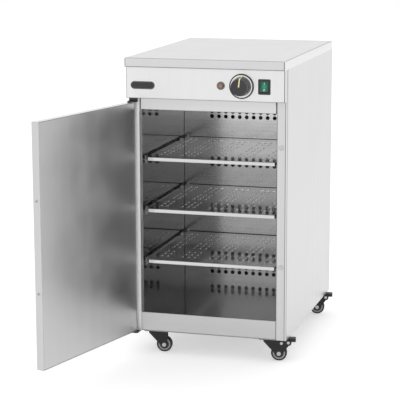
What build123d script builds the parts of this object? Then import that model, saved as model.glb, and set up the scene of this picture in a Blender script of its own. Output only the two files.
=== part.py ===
from build123d import *

import os
from math import cos, degrees, hypot, atan2, radians, sin

os.makedirs("parts", exist_ok=True)

# Heated plate cabinet on castors. Millimetres, +Z up. The origin is the middle of the body's
# underside, the front faces -Y, and the door hangs on the left (-X) and stands open.

# ---------------------------------------------------------------------------------- body
body_width = 450.0
body_depth = 600.0
body_height = 780.0  # underside of the body to the top of the lid
panel_sheet = 1.0
base_sheet = 1.2
bend_radius = 1.5  # at the middle of the sheet
fit_gap = 0.3  # between pieces that are placed beside each other

lid_skirt = 25.0
lid_front_overhang = 40.0
lid_hem = 8.0
lid_edge_radius = 2.0

side_front_return = 5.0
side_flange = 15.0
stile_width = 24.5
stile_depth = 20.0
stile_seam = 0.5

fascia_height = 110.0
fascia_top_gap = 1.0
fascia_projection = 30.0
fascia_side_inset = 1.5

header_drop = 35.0  # below the fascia's lower edge
header_rise = 22.0  # hidden behind the fascia
header_end_slot = 3.0
rail_flange = 20.0

floor_height = 54.0
chamber_depth = 435.0  # front plane to the back of the back liner
ceiling_drop = 13.0  # ceiling below the fascia's lower edge

base_upstand = 25.0
base_upstand_end_gap = 20.0
base_rib_width = 8.0  # stiffening rib pressed down round the middle of the base pan
base_rib_depth = 1.5
base_rib_radius = 12.0

# ------------------------------------------------------------------------------- shelves
shelf_count = 3
top_space = 160.0  # top shelf to ceiling
shelf_side_gap = 11.0
shelf_front_gap = 30.0
shelf_rear_gap = 6.0
shelf_edge = 10.0
shelf_sheet = 1.2
shelf_corner_radius = 4.0
shelf_bend_radius = 1.8
slot_length = 20.0
slot_width = 8.0
slot_pitch_x = 17.3
slot_pitch_y = 32.0
slot_margin_x = 26.0  # shelf edge to the outermost column of slots
slot_margin_y = 47.0  # shelf edge to the outermost row of slots
slots_in_group = 3
slots_in_side_group = 2

clip_sheet = 1.5
clip_width = 16.0
clip_height = 22.0
clip_overlap = 6.0
clip_end_inset = 26.0

vent_diameter = 12.0
vent_pitch = 21.6
vent_columns = 11
vent_row_pitch = 14.8
vent_rise_above_shelf = 72.0
vent_rise_above_floor = 31.3

# ---------------------------------------------------------------------------------- door
door_width = 447.0
door_thickness = 22.0
door_gap = 2.5
door_side_inset = 0.5
door_top_gap = 14.0  # door to fascia
door_bottom_gap = 1.0
door_skin_radius = 1.5
door_open_angle = 104.5
door_panel_return = 6.0
core_gap = 1.2
hinge_edge_offset = 6.0
hinge_pin_diameter = 6.0
hinge_running_gap = 0.05  # radial
bush_diameter = 8.0
bush_flange_diameter = 11.0
bush_length = 18.0
bracket_sheet = 3.0
bracket_width = 25.0
bracket_nose = 10.5
bracket_nose_radius = 5.0
bracket_foot = 30.0
handle_diameter = 12.0
handle_centres = 160.0
handle_reach = 34.0
handle_bend = 16.0
handle_from_edge = 60.0
handle_from_top = 224.0
edge_screw_centres = 244.0
edge_screw_head = 8.0
edge_screw_head_height = 1.5
edge_screw_shank = 4.0
edge_screw_length = 12.0
catch_diameter = 16.0
catch_face = 1.8
catch_stud = 9.0
catch_stud_length = 10.0
catch_from_top = 112.0
catch_from_bottom = 207.0

# ------------------------------------------------------------------------------ controls
control_rise = 41.5  # above the fascia's lower edge
badge_rise = 36.5
badge_from_edge = 49.0
badge_width = 69.0
badge_height = 21.5
badge_thickness = 1.2
lamp_from_edge = 179.2
lamp_diameter = 22.4
lamp_bezel_height = 2.5
lamp_socket_diameter = 20.0
lamp_lens_height = 3.6
lamp_body_length = 20.0
knob_from_edge = 121.2
dial_bezel_diameter = 68.0
dial_bezel_thickness = 3.5
dial_bezel_bore = 20.0
knob_diameter = 53.0
knob_face_diameter = 46.0
knob_height = 29.0
knob_gap = 0.8
knob_edge_radius = 2.5
knob_flutes = 30
knob_flute_diameter = 2.6
knob_rest_angle = 7.0  # clockwise from straight up
pointer_width = 4.0
pointer_height = 1.0
pointer_skirt = 3.0  # its lower end, above the knob's back
pointer_root = 6.0  # how deep it is set into the knob
spindle_diameter = 6.0
spindle_length = 17.0
spindle_running_gap = 0.1
thermostat_diameter = 42.0
thermostat_depth = 24.0
switch_from_edge = 58.2
switch_width = 34.0
switch_height = 42.0
switch_corner_radius = 3.0
switch_lip = 2.0
switch_lip_overlap = 3.0
switch_depth = 22.0
switch_recess_depth = 13.0
rocker_width = 22.0
rocker_length = 29.6
rocker_gap = 0.5
rocker_tilt = 7.0
rocker_pivot_depth = 5.0
rocker_face = 6.5  # pivot to the ends of the rocker's face
rocker_face_dip = 1.8
rocker_back = 3.0
rocker_taper = 3.5

# -------------------------------------------------------------------- heating and supply
element_diameter = 8.0
element_span = 300.0
element_height = 70.0
element_row_gap = 40.0
element_bend = 19.0
element_bracket_centres = 200.0
element_bracket_width = 40.0
element_bracket_sheet = 2.0
element_bracket_foot = 14.0
bulb_diameter = 6.5
bulb_length = 90.0
bulb_drop = 120.0  # capillary's level down to the top of the bulb
bulb_wall_gap = 1.75
bulb_saddle = 8.0
capillary_diameter = 2.0
capillary_rise = 8.0
capillary_bend = 20.0
gland_from_edge = 75.0
gland_height = 60.0
gland_thread_diameter = 16.0
gland_hex = 22.0
gland_hex_thickness = 6.0
gland_dome_diameter = 18.0
gland_dome_length = 11.0
gland_bore = 8.0
gland_inner_length = 10.0

screw_head_diameter = 8.0
screw_head_height = 1.8
screw_shank = 4.0
screw_length = 8.0
screw_rows = 4
screw_margin = 45.0
rivet_count = 6
rivet_diameter = 5.0
rivet_height = 1.0
rivet_from_front = 16.0
rivet_margin_bottom = 81.0
rivet_margin_top = 46.0  # below the ceiling

# ------------------------------------------------------------------------------- castors
castor_side_inset = 57.0
castor_front_inset = 35.0
castor_rear_inset = 42.0
castor_rest_turn = 10.0  # degrees, counter-clockwise from above
wheel_diameter = 45.0
wheel_trail = 28.5
tyre_width = 18.0
tyre_depth = 7.0
tyre_shoulder = 4.0
rim_depth = 5.0
rim_width = 16.0
web_width = 8.0
hub_diameter = 16.0
hub_side_gap = 0.5
axle_diameter = 6.0
axle_running_gap = 0.05
axle_head_diameter = 11.0
axle_head_height = 3.5
fork_sheet = 2.0
fork_inside = 22.0
fork_front = 15.5  # in front of the swivel axis
fork_rear = 37.0
fork_corner_radius = 3.0
fork_axle_boss = 9.0
fork_crown_gap = 13.8
collar_diameter = 34.0
collar_height = 3.4
disc_diameter = 49.0
disc_thickness = 3.5
swivel_gap = 0.3
kingpin_diameter = 9.0
kingpin_running_gap = 0.03
kingpin_head_diameter = 14.0
kingpin_head_height = 2.0
stem_diameter = 10.0
stem_length = 12.0
stem_hole_gap = 0.2
stem_nut = 17.0
stem_nut_height = 8.0
brake_pivot_offset = 26.5  # right of the wheel's axle
brake_pivot_drop = 7.0  # below the fork's top
brake_link_offset = 7.0
brake_link_drop = 8.8
brake_boss = 6.0
brake_rivet_diameter = 4.0
brake_rivet_head = 8.4
brake_rivet_head_height = 1.2
pedal_hub = 5.0
pedal_reach = 20.5  # pivot to the tip of the pedal
pedal_rise = 12.0  # pivot to the pedal's top
pedal_tip_radius = 2.5
pedal_pad_start = 3.0
pedal_pad_depth = 5.0
pedal_heel = 6.0  # start of the pad to the heel of its underside
pedal_side_gap = 0.5
pedal_travel = 14.0  # degrees down
shoe_radius = 3.0
shoe_width = 16.0
shoe_gap = 0.4  # to the tyre, pedal down

# ------------------------------------------------------------- places worked out from them
half_width = body_width / 2
front_y = -body_depth / 2
rear_y = body_depth / 2
mid_sheet = panel_sheet / 2
lid_bottom = body_height - lid_skirt
lid_under = body_height - panel_sheet
lid_front_y = front_y - lid_front_overhang
lid_rear_y = rear_y + panel_sheet
fascia_bottom = lid_under - fascia_top_gap - fascia_height
fascia_y = front_y - fascia_projection
fascia_half = half_width - fascia_side_inset
stile_outer = half_width - side_front_return - stile_seam
stile_inner = stile_outer - stile_width
stile_back_y = front_y + stile_depth
stile_top = lid_bottom - panel_sheet
liner_inner = stile_inner + panel_sheet
liner_outer = liner_inner + panel_sheet
liner_front_y = front_y + panel_sheet + bend_radius + mid_sheet
chamber_back_y = front_y + chamber_depth
chamber_top = fascia_bottom - ceiling_drop
header_bottom = fascia_bottom - header_drop
header_top = fascia_bottom + header_rise
header_y = front_y + panel_sheet + mid_sheet
control_z = fascia_bottom + control_rise
knob_x = half_width - knob_from_edge
lamp_x = half_width - lamp_from_edge
switch_x = half_width - switch_from_edge

shelf_pitch = (chamber_top - floor_height - top_space) / shelf_count
shelf_half = liner_inner - shelf_side_gap
shelf_front_y = front_y + shelf_front_gap
shelf_rear_y = chamber_back_y - panel_sheet - shelf_rear_gap
shelf_depth = shelf_rear_y - shelf_front_y
shelf_mid_y = (shelf_front_y + shelf_rear_y) / 2
shelf_tops = [floor_height + shelf_pitch * (level + 1) for level in range(shelf_count)]

door_bottom = door_bottom_gap
door_top = fascia_bottom - door_top_gap
door_height = door_top - door_bottom
door_middle_z = (door_top + door_bottom) / 2
hinge_x = -half_width + door_side_inset + hinge_edge_offset
hinge_y = front_y - door_gap - door_thickness / 2
door_edge = door_width - hinge_edge_offset  # hinge axis to the free edge

# The door's own frame: x across the door from the hinge axis, y towards its inner face.
door_frame = Plane(
    origin=(hinge_x, hinge_y, 0),
    x_dir=(cos(radians(door_open_angle)), -sin(radians(door_open_angle)), 0),
    z_dir=(0, 0, 1),
)
door_depth_axis = Axis((hinge_x, hinge_y, 0), door_frame.y_dir)


def on_door(plane):
    """A plane given in the door's own frame, where the door stands."""
    return Plane(door_frame.location * plane.location)


def front_face(y):
    """Upright plane at y that looks to the front: x to the right, y up."""
    return Plane.XZ.offset(-y)


def back_face(y):
    """Upright plane at y that looks to the back: x to the left, y up."""
    return Plane(origin=(0, y, 0), x_dir=(-1, 0, 0), z_dir=(0, 1, 0))


# ------------------------------------------------------------------------------ lid
with BuildPart() as lid:
    with BuildSketch(Plane.XY.offset(lid_bottom)):
        with Locations((0, (lid_front_y + lid_rear_y) / 2)):
            Rectangle(body_width, lid_rear_y - lid_front_y)
    extrude(amount=lid_skirt)
    fillet(lid.edges().filter_by(Axis.Z), lid_edge_radius)
    fillet(lid.faces().sort_by(Axis.Z)[-1].edges(), lid_edge_radius)
    offset(amount=-panel_sheet, openings=lid.faces().sort_by(Axis.Z)[0])
    with BuildSketch(Plane.XY.offset(lid_bottom)):
        with Locations((0, lid_front_y + mid_sheet)):
            Rectangle(
                body_width - 2 * lid_edge_radius,
                lid_hem + mid_sheet,
                align=(Align.CENTER, Align.MIN),
            )
    extrude(amount=panel_sheet)
lid.part.label = "lid"
export_step(lid.part, "parts/lid.step")

# ------------------------------------------------------------------- control fascia
with BuildPart() as control_fascia:
    with BuildSketch(Plane.XY.offset(fascia_bottom)):
        with Locations((0, front_y)):
            Rectangle(2 * fascia_half, fascia_projection, align=(Align.CENTER, Align.MAX))
    extrude(amount=fascia_height)
    front_edges = control_fascia.faces().sort_by(Axis.Y)[0].edges()
    fillet(front_edges - front_edges.group_by(Axis.Z)[-1], lid_edge_radius)
    offset(
        amount=-panel_sheet,
        openings=[
            control_fascia.faces().sort_by(Axis.Z)[-1],
            control_fascia.faces().sort_by(Axis.Y)[-1],
        ],
    )
    with BuildSketch(front_face(fascia_y)):
        with Locations((lamp_x, control_z)):
            Circle(lamp_socket_diameter / 2 + fit_gap)
        with Locations((knob_x, control_z)):
            Circle(dial_bezel_bore / 2)
        with Locations((switch_x, control_z)):
            Rectangle(
                switch_width - 2 * switch_lip_overlap + 2 * fit_gap,
                switch_height - 2 * switch_lip_overlap + 2 * fit_gap,
            )
    extrude(amount=-panel_sheet, mode=Mode.SUBTRACT)
control_fascia.part.label = "control_fascia"
export_step(control_fascia.part, "parts/control_fascia.step")

# ----------------------------------------------------------------------- stiles
with BuildPart() as stile_left:
    with BuildSketch(Plane.XY):
        with BuildLine():
            FilletPolyline(
                (-stile_inner - mid_sheet, stile_back_y),
                (-stile_inner - mid_sheet, front_y + mid_sheet),
                (-stile_outer + mid_sheet, front_y + mid_sheet),
                (-stile_outer + mid_sheet, stile_back_y),
                radius=bend_radius,
            )
        trace(line_width=panel_sheet)
    extrude(amount=stile_top)
    with BuildSketch(Plane.XY):
        with Locations((-stile_inner - stile_width / 2, front_y + panel_sheet)):
            Rectangle(stile_width, stile_depth, align=(Align.CENTER, Align.MIN))
    extrude(amount=base_sheet, mode=Mode.SUBTRACT)
stile_left.part.label = "stile_left"
export_step(stile_left.part, "parts/stile_left.step")

catch_x = stile_inner + stile_width / 2
catch_places = [(catch_x, door_top - catch_from_top), (catch_x, door_bottom + catch_from_bottom)]
with BuildPart() as stile_right:
    mirror(stile_left.part, about=Plane.YZ)
    with BuildSketch(front_face(front_y)):
        with Locations(*catch_places):
            Circle(catch_stud / 2 + fit_gap)
    extrude(amount=-panel_sheet, mode=Mode.SUBTRACT)
stile_right.part.label = "stile_right"
export_step(stile_right.part, "parts/stile_right.step")

# ------------------------------------------------------------------- side panels
screw_x = half_width - side_flange / 2
screw_pitch = (lid_bottom - 2 * screw_margin) / (screw_rows - 1)
screw_heights = [screw_margin + screw_pitch * row for row in range(screw_rows)]
with BuildPart() as side_panel_right:
    with BuildSketch(Plane.XY):
        with BuildLine():
            FilletPolyline(
                (half_width - side_front_return, front_y + mid_sheet),
                (half_width - mid_sheet, front_y + mid_sheet),
                (half_width - mid_sheet, rear_y - mid_sheet),
                (half_width - side_flange, rear_y - mid_sheet),
                radius=bend_radius,
            )
        trace(line_width=panel_sheet)
    extrude(amount=lid_bottom)
    with BuildSketch(Plane.XY.offset(stile_top)):
        with Locations((half_width - mid_sheet, 0)):
            Rectangle(
                side_flange - mid_sheet,
                body_depth - 2 * bend_radius - 2 * panel_sheet,
                align=(Align.MAX, Align.CENTER),
            )
    extrude(amount=panel_sheet)
    with BuildSketch(back_face(rear_y)):
        with Locations(*[(-screw_x, height) for height in screw_heights]):
            Circle(screw_shank / 2 + fit_gap)
    extrude(amount=-panel_sheet, mode=Mode.SUBTRACT)
side_panel_right.part.label = "side_panel_right"
export_step(side_panel_right.part, "parts/side_panel_right.step")

with BuildPart() as side_panel_left:
    mirror(side_panel_right.part, about=Plane.YZ)
side_panel_left.part.label = "side_panel_left"
export_step(side_panel_left.part, "parts/side_panel_left.step")

# --------------------------------------------------------------- header and bottom rail
with BuildPart() as header_rail:
    with BuildSketch(Plane.YZ):
        with BuildLine():
            FilletPolyline(
                (header_y + rail_flange, header_bottom + mid_sheet),
                (header_y, header_bottom + mid_sheet),
                (header_y, header_top),
                radius=bend_radius,
            )
        trace(line_width=panel_sheet)
    extrude(amount=stile_inner - header_end_slot, both=True)
    with BuildSketch(Plane.XY.offset(fascia_bottom)):
        with Locations((0, header_y)):
            Rectangle(2 * stile_inner, panel_sheet)
    extrude(amount=header_rise)
header_rail.part.label = "header_rail"
export_step(header_rail.part, "parts/header_rail.step")

rail_half = stile_inner - fit_gap
with BuildPart() as bottom_rail:
    with BuildSketch(Plane.YZ):
        with BuildLine():
            FilletPolyline(
                (front_y + rail_flange, base_sheet + mid_sheet),
                (front_y + mid_sheet, base_sheet + mid_sheet),
                (front_y + mid_sheet, floor_height),
                radius=bend_radius,
            )
        trace(line_width=panel_sheet)
    extrude(amount=rail_half, both=True)
bottom_rail.part.label = "bottom_rail"
export_step(bottom_rail.part, "parts/bottom_rail.step")

# -------------------------------------------------------------------------- base pan
castor_x = half_width - castor_side_inset
castor_front_y = front_y + castor_front_inset
castor_rear_y = rear_y - castor_rear_inset
castor_places = {
    "front_left": (-castor_x, castor_front_y),
    "front_right": (castor_x, castor_front_y),
    "rear_left": (-castor_x, castor_rear_y),
    "rear_right": (castor_x, castor_rear_y),
}
braked_corners = ("front_right", "rear_right")
pan_half = half_width - panel_sheet
rib_across = 2 * (castor_x - disc_diameter / 2) - 4 * base_rib_width
rib_along = castor_rear_y - castor_front_y - disc_diameter - 4 * base_rib_width


def rib_ring(width):
    """The base pan's rib from below, as a rounded frame whose bar is as wide as given."""
    RectangleRounded(rib_across + width, rib_along + width, base_rib_radius + width / 2)
    RectangleRounded(
        rib_across - width,
        rib_along - width,
        base_rib_radius - width / 2,
        mode=Mode.SUBTRACT,
    )


with BuildPart() as base_pan:
    with BuildSketch(Plane.XY):
        RectangleRounded(2 * pan_half, body_depth - 2 * panel_sheet, lid_edge_radius)
        with Locations((0, front_y)):
            Rectangle(2 * rail_half, 2 * panel_sheet, align=(Align.CENTER, Align.MIN))
    extrude(amount=base_sheet)
    with BuildSketch(Plane.XY):
        for side in (-1, 1):
            with Locations((side * (pan_half - base_sheet / 2), 0)):
                Rectangle(base_sheet, body_depth - 2 * base_upstand_end_gap - 2 * panel_sheet)
    extrude(amount=base_upstand)
    with BuildSketch(Plane.XY):
        with Locations(*castor_places.values()):
            Circle(stem_diameter / 2 + stem_hole_gap)
    extrude(amount=base_sheet, mode=Mode.SUBTRACT)
    with BuildSketch(Plane.XY.offset(-base_rib_depth)):
        rib_ring(base_rib_width)
    extrude(amount=base_rib_depth)
    with BuildSketch(Plane.XY.offset(base_sheet - base_rib_depth)):
        rib_ring(base_rib_width - 2 * base_sheet)
    extrude(amount=base_rib_depth, mode=Mode.SUBTRACT)
base_pan.part.label = "base_pan"
export_step(base_pan.part, "parts/base_pan.step")

# ------------------------------------------------------------------------- back panel
with BuildPart() as back_panel:
    with BuildSketch(back_face(rear_y)):
        with Locations((0, lid_bottom / 2)):
            Rectangle(body_width, lid_bottom)
        with Locations(*[(side * screw_x, height) for side in (-1, 1) for height in screw_heights]):
            Circle(screw_shank / 2 + fit_gap, mode=Mode.SUBTRACT)
        with Locations((half_width - gland_from_edge, gland_height)):
            Circle(gland_thread_diameter / 2 + fit_gap, mode=Mode.SUBTRACT)
    extrude(amount=panel_sheet)
back_panel.part.label = "back_panel"
export_step(back_panel.part, "parts/back_panel.step")

# ----------------------------------------------------------------------------- liner
for side, name in ((-1, "liner_left"), (1, "liner_right")):
    with BuildPart() as liner_side:
        with BuildSketch(Plane.XY.offset(base_sheet)):
            with Locations((side * (liner_inner + mid_sheet), liner_front_y)):
                Rectangle(
                    panel_sheet,
                    chamber_back_y - liner_front_y,
                    align=(Align.CENTER, Align.MIN),
                )
        extrude(amount=chamber_top - base_sheet)
    liner_side.part.label = name
    export_step(liner_side.part, f"parts/{name}.step")

vent_levels = [floor_height + vent_rise_above_floor] + [top + vent_rise_above_shelf for top in shelf_tops]
with BuildPart() as liner_back:
    with BuildSketch(front_face(chamber_back_y - panel_sheet)):
        with Locations((0, (floor_height + chamber_top) / 2)):
            Rectangle(2 * liner_inner, chamber_top - floor_height)
        for level in vent_levels:
            with Locations((0, level)):
                with GridLocations(vent_pitch, vent_row_pitch, vent_columns, 2):
                    Circle(vent_diameter / 2, mode=Mode.SUBTRACT)
    extrude(amount=-panel_sheet)
liner_back.part.label = "liner_back"
export_step(liner_back.part, "parts/liner_back.step")

ceiling_front_y = header_y + mid_sheet
with BuildPart() as liner_ceiling:
    with BuildSketch(Plane.XY.offset(chamber_top)):
        with Locations((0, stile_back_y)):
            Rectangle(2 * liner_outer, chamber_back_y - stile_back_y, align=(Align.CENTER, Align.MIN))
            Rectangle(2 * stile_inner, stile_back_y - ceiling_front_y, align=(Align.CENTER, Align.MAX))
    extrude(amount=panel_sheet)
liner_ceiling.part.label = "liner_ceiling"
export_step(liner_ceiling.part, "parts/liner_ceiling.step")

# The floor deck is an inverted tray: its sides and rear stand on the base pan.
deck_front_y = front_y + panel_sheet
with BuildPart() as floor_deck:
    with BuildSketch(Plane.XY.offset(base_sheet)):
        with Locations((0, stile_back_y)):
            Rectangle(2 * liner_inner, chamber_back_y - stile_back_y, align=(Align.CENTER, Align.MIN))
            Rectangle(
                2 * (liner_inner - panel_sheet),
                chamber_back_y - panel_sheet - stile_back_y,
                align=(Align.CENTER, Align.MIN),
                mode=Mode.SUBTRACT,
            )
    extrude(amount=floor_height - base_sheet)
    with BuildSketch(Plane.XY.offset(floor_height - panel_sheet)):
        with Locations((0, stile_back_y)):
            Rectangle(2 * liner_inner, chamber_back_y - stile_back_y, align=(Align.CENTER, Align.MIN))
            Rectangle(2 * stile_inner, stile_back_y - deck_front_y, align=(Align.CENTER, Align.MAX))
    extrude(amount=panel_sheet)
floor_deck.part.label = "floor_deck"
export_step(floor_deck.part, "parts/floor_deck.step")

insulation_front_y = stile_back_y + fit_gap
insulation_outer = pan_half - base_sheet - fit_gap
with BuildPart() as side_insulation:
    with BuildSketch(Plane.XY.offset(base_sheet)):
        for side in (-1, 1):
            with Locations((side * (liner_outer + insulation_outer) / 2, insulation_front_y)):
                Rectangle(
                    insulation_outer - liner_outer,
                    chamber_back_y - insulation_front_y,
                    align=(Align.CENTER, Align.MIN),
                )
    extrude(amount=chamber_top - base_sheet)
side_insulation.part.label = "side_insulation"
export_step(side_insulation.part, "parts/side_insulation.step")

# --------------------------------------------------------------------------- shelves
# Columns of slots stand in groups of 2, 3, 3, 3 and 2, rows in three groups of 3, evenly spaced.
column_gap = (2 * (shelf_half - slot_margin_x) - 8 * slot_pitch_x) / 4
column_group_pitch = column_gap + (slots_in_group - 1) * slot_pitch_x
side_group_x = shelf_half - slot_margin_x - slot_pitch_x / 2
row_gap = (shelf_depth - 2 * slot_margin_y - 6 * slot_pitch_y) / 2
row_group_pitch = row_gap + (slots_in_group - 1) * slot_pitch_y
for top, name in zip(shelf_tops, ("shelf_bottom", "shelf_middle", "shelf_top")):
    with BuildPart() as shelf:
        with BuildSketch(Plane.XY.offset(top - shelf_edge)):
            with Locations((0, shelf_mid_y)):
                RectangleRounded(2 * shelf_half, shelf_depth, shelf_corner_radius)
        extrude(amount=shelf_edge)
        fillet(shelf.faces().sort_by(Axis.Z)[-1].edges(), shelf_bend_radius)
        with BuildSketch(Plane.XY.offset(top - shelf_edge)):
            with Locations((0, shelf_mid_y)):
                RectangleRounded(
                    2 * (shelf_half - shelf_sheet),
                    shelf_depth - 2 * shelf_sheet,
                    shelf_corner_radius - shelf_sheet,
                )
        extrude(amount=shelf_edge - shelf_sheet, mode=Mode.SUBTRACT)
        with BuildSketch(Plane.XY.offset(top)):
            with Locations((0, shelf_mid_y)):
                with GridLocations(column_group_pitch, row_group_pitch, 3, 3):
                    with GridLocations(slot_pitch_x, slot_pitch_y, slots_in_group, slots_in_group):
                        SlotOverall(slot_length, slot_width, rotation=90)
                with GridLocations(2 * side_group_x, row_group_pitch, 2, 3):
                    with GridLocations(slot_pitch_x, slot_pitch_y, slots_in_side_group, slots_in_group):
                        SlotOverall(slot_length, slot_width, rotation=90)
        extrude(amount=-shelf_sheet, mode=Mode.SUBTRACT)
    shelf.part.label = name
    export_step(shelf.part, f"parts/{name}.step")

clip_ends = (shelf_front_y + clip_end_inset, shelf_rear_y - clip_end_inset)
clip_reach = shelf_side_gap + clip_overlap
with BuildPart() as shelf_clips:
    for top in shelf_tops:
        clip_seat = top - shelf_edge
        with BuildSketch(Plane.XZ.offset(-clip_ends[0] + clip_width / 2)):
            for side in (-1, 1):
                with Locations((side * (liner_inner - clip_sheet / 2), clip_seat)):
                    Rectangle(clip_sheet, clip_height, align=(Align.CENTER, Align.CENTER))
                with Locations((side * (liner_inner - clip_reach / 2), clip_seat)):
                    Rectangle(clip_reach, clip_sheet, align=(Align.CENTER, Align.MAX))
        extrude(amount=-clip_width)
        with BuildSketch(Plane.XZ.offset(-clip_ends[1] + clip_width / 2)):
            for side in (-1, 1):
                with Locations((side * (liner_inner - clip_sheet / 2), clip_seat)):
                    Rectangle(clip_sheet, clip_height, align=(Align.CENTER, Align.CENTER))
                with Locations((side * (liner_inner - clip_reach / 2), clip_seat)):
                    Rectangle(clip_reach, clip_sheet, align=(Align.CENTER, Align.MAX))
        extrude(amount=-clip_width)
shelf_clips.part.label = "shelf_clips"
export_step(shelf_clips.part, "parts/shelf_clips.step")

# ------------------------------------------------------------------------------ door
with BuildPart() as door_outer_skin:
    with BuildSketch(on_door(Plane.XY.offset(door_bottom))):
        with Locations((-hinge_edge_offset, 0)):
            Rectangle(door_width, door_thickness, align=(Align.MIN, Align.CENTER))
    extrude(amount=door_height)
    fillet(door_outer_skin.faces().sort_by(door_depth_axis)[0].edges(), door_skin_radius)
    offset(amount=-panel_sheet, openings=door_outer_skin.faces().sort_by(door_depth_axis)[-1])
    with BuildSketch(on_door(Plane.XY)):
        Circle(bush_diameter / 2)
    extrude(amount=door_top, mode=Mode.SUBTRACT)
    with BuildSketch(on_door(Plane.YZ.offset(door_edge))):
        with Locations((0, door_middle_z)):
            with GridLocations(1, edge_screw_centres, 1, 2):
                Circle(edge_screw_shank / 2)
    extrude(amount=-panel_sheet, mode=Mode.SUBTRACT)
door_outer_skin.part.label = "door_outer_skin"
export_step(door_outer_skin.part, "parts/door_outer_skin.step")

panel_edge_gap = panel_sheet + fit_gap
with BuildPart() as door_inner_panel:
    with BuildSketch(on_door(Plane.XY.offset(door_bottom + panel_edge_gap))):
        with Locations((-hinge_edge_offset + panel_edge_gap, door_thickness / 2)):
            Rectangle(door_width - 2 * panel_edge_gap, door_panel_return, align=(Align.MIN, Align.MAX))
    extrude(amount=door_height - 2 * panel_edge_gap)
    fillet(door_inner_panel.faces().sort_by(door_depth_axis)[-1].edges(), door_skin_radius)
    offset(amount=-panel_sheet, openings=door_inner_panel.faces().sort_by(door_depth_axis)[0])
door_inner_panel.part.label = "door_inner_panel"
export_step(door_inner_panel.part, "parts/door_inner_panel.step")

core_edge_gap = panel_edge_gap + core_gap + panel_sheet
core_pocket = bush_length + core_gap
with BuildPart() as door_core:
    with BuildSketch(on_door(Plane.XY.offset(door_bottom + core_edge_gap))):
        with Locations((-hinge_edge_offset + core_edge_gap, 0)):
            Rectangle(
                door_width - 2 * core_edge_gap,
                door_thickness - 2 * panel_sheet,
                align=(Align.MIN, Align.CENTER),
            )
    extrude(amount=door_height - 2 * core_edge_gap)
    with BuildSketch(on_door(Plane.XY.offset(door_bottom)), on_door(Plane.XY.offset(door_top - core_pocket))):
        Circle(bush_diameter / 2 + fit_gap)
    extrude(amount=core_pocket, mode=Mode.SUBTRACT)
    with BuildSketch(on_door(Plane.YZ.offset(door_edge))):
        with Locations((0, door_middle_z)):
            with GridLocations(1, edge_screw_centres, 1, 2):
                Circle(edge_screw_shank / 2 + fit_gap)
    extrude(amount=-edge_screw_length - core_gap, mode=Mode.SUBTRACT)
door_core.part.label = "door_core"
export_step(door_core.part, "parts/door_core.step")

with BuildPart() as door_edge_screws:
    with BuildSketch(on_door(Plane.YZ.offset(door_edge))):
        with Locations((0, door_middle_z)):
            with GridLocations(1, edge_screw_centres, 1, 2):
                Circle(edge_screw_head / 2)
    extrude(amount=edge_screw_head_height)
    with BuildSketch(on_door(Plane.YZ.offset(door_edge))):
        with Locations((0, door_middle_z)):
            with GridLocations(1, edge_screw_centres, 1, 2):
                Circle(edge_screw_shank / 2)
    extrude(amount=-edge_screw_length)
door_edge_screws.part.label = "door_edge_screws"
export_step(door_edge_screws.part, "parts/door_edge_screws.step")

handle_x = door_edge - handle_from_edge
handle_z = door_top - handle_from_top
handle_face = Plane.YZ.offset(handle_x)
with BuildPart() as door_handle:
    with BuildLine(on_door(handle_face)) as handle_path:
        FilletPolyline(
            (-door_thickness / 2, handle_z - handle_centres / 2),
            (-door_thickness / 2 - handle_reach, handle_z - handle_centres / 2),
            (-door_thickness / 2 - handle_reach, handle_z + handle_centres / 2),
            (-door_thickness / 2, handle_z + handle_centres / 2),
            radius=handle_bend,
        )
    with BuildSketch(Plane(origin=handle_path.line @ 0, z_dir=handle_path.line % 0)):
        Circle(handle_diameter / 2)
    sweep()
door_handle.part.label = "door_handle"
export_step(door_handle.part, "parts/door_handle.step")

# Pins hang from the upper bracket and stand on the lower one; flanged bushes turn on them.
bracket_under = door_top + door_bottom_gap
pin_length = bush_length + door_bottom_gap
with BuildPart() as hinge_bushes:
    for seat, up in ((door_bottom, 1), (door_top, -1)):
        with BuildSketch(on_door(Plane.XY.offset(seat))):
            Circle(bush_diameter / 2)
        extrude(amount=up * bush_length)
        with BuildSketch(on_door(Plane.XY.offset(seat))):
            Circle(bush_flange_diameter / 2)
        extrude(amount=-up * door_bottom_gap)
        with BuildSketch(on_door(Plane.XY.offset(seat - up * door_bottom_gap))):
            Circle(hinge_pin_diameter / 2 + hinge_running_gap)
        extrude(amount=up * pin_length, mode=Mode.SUBTRACT)
hinge_bushes.part.label = "hinge_bushes"
export_step(hinge_bushes.part, "parts/hinge_bushes.step")

bracket_mid_x = -half_width + bracket_width / 2
bracket_front_y = hinge_y - bracket_nose
with BuildPart() as hinge_brackets:
    with BuildSketch(Plane.XY.offset(bracket_under)):
        with Locations((bracket_mid_x, bracket_front_y)):
            Rectangle(bracket_width, front_y - bracket_front_y, align=(Align.CENTER, Align.MIN))
    extrude(amount=bracket_sheet)
    with BuildSketch(Plane.XY.offset(-bracket_sheet)):
        with Locations((bracket_mid_x, bracket_front_y)):
            Rectangle(
                bracket_width,
                front_y - bracket_front_y + bracket_foot,
                align=(Align.CENTER, Align.MIN),
            )
    extrude(amount=bracket_sheet)
    fillet(hinge_brackets.edges().filter_by(Axis.Z).group_by(Axis.Y)[0], bracket_nose_radius)
    with BuildSketch(Plane.XY.offset(bracket_under)):
        with Locations((bracket_mid_x, front_y)):
            Rectangle(bracket_width, bracket_sheet, align=(Align.CENTER, Align.MAX))
    extrude(amount=door_top_gap - door_bottom_gap - fit_gap)
    with BuildSketch(Plane.XY.offset(bracket_under)):
        with Locations((hinge_x, hinge_y)):
            Circle(hinge_pin_diameter / 2)
    extrude(amount=-pin_length)
    with BuildSketch(Plane.XY):
        with Locations((hinge_x, hinge_y)):
            Circle(hinge_pin_diameter / 2)
    extrude(amount=pin_length)
hinge_brackets.part.label = "hinge_brackets"
export_step(hinge_brackets.part, "parts/hinge_brackets.step")

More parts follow.
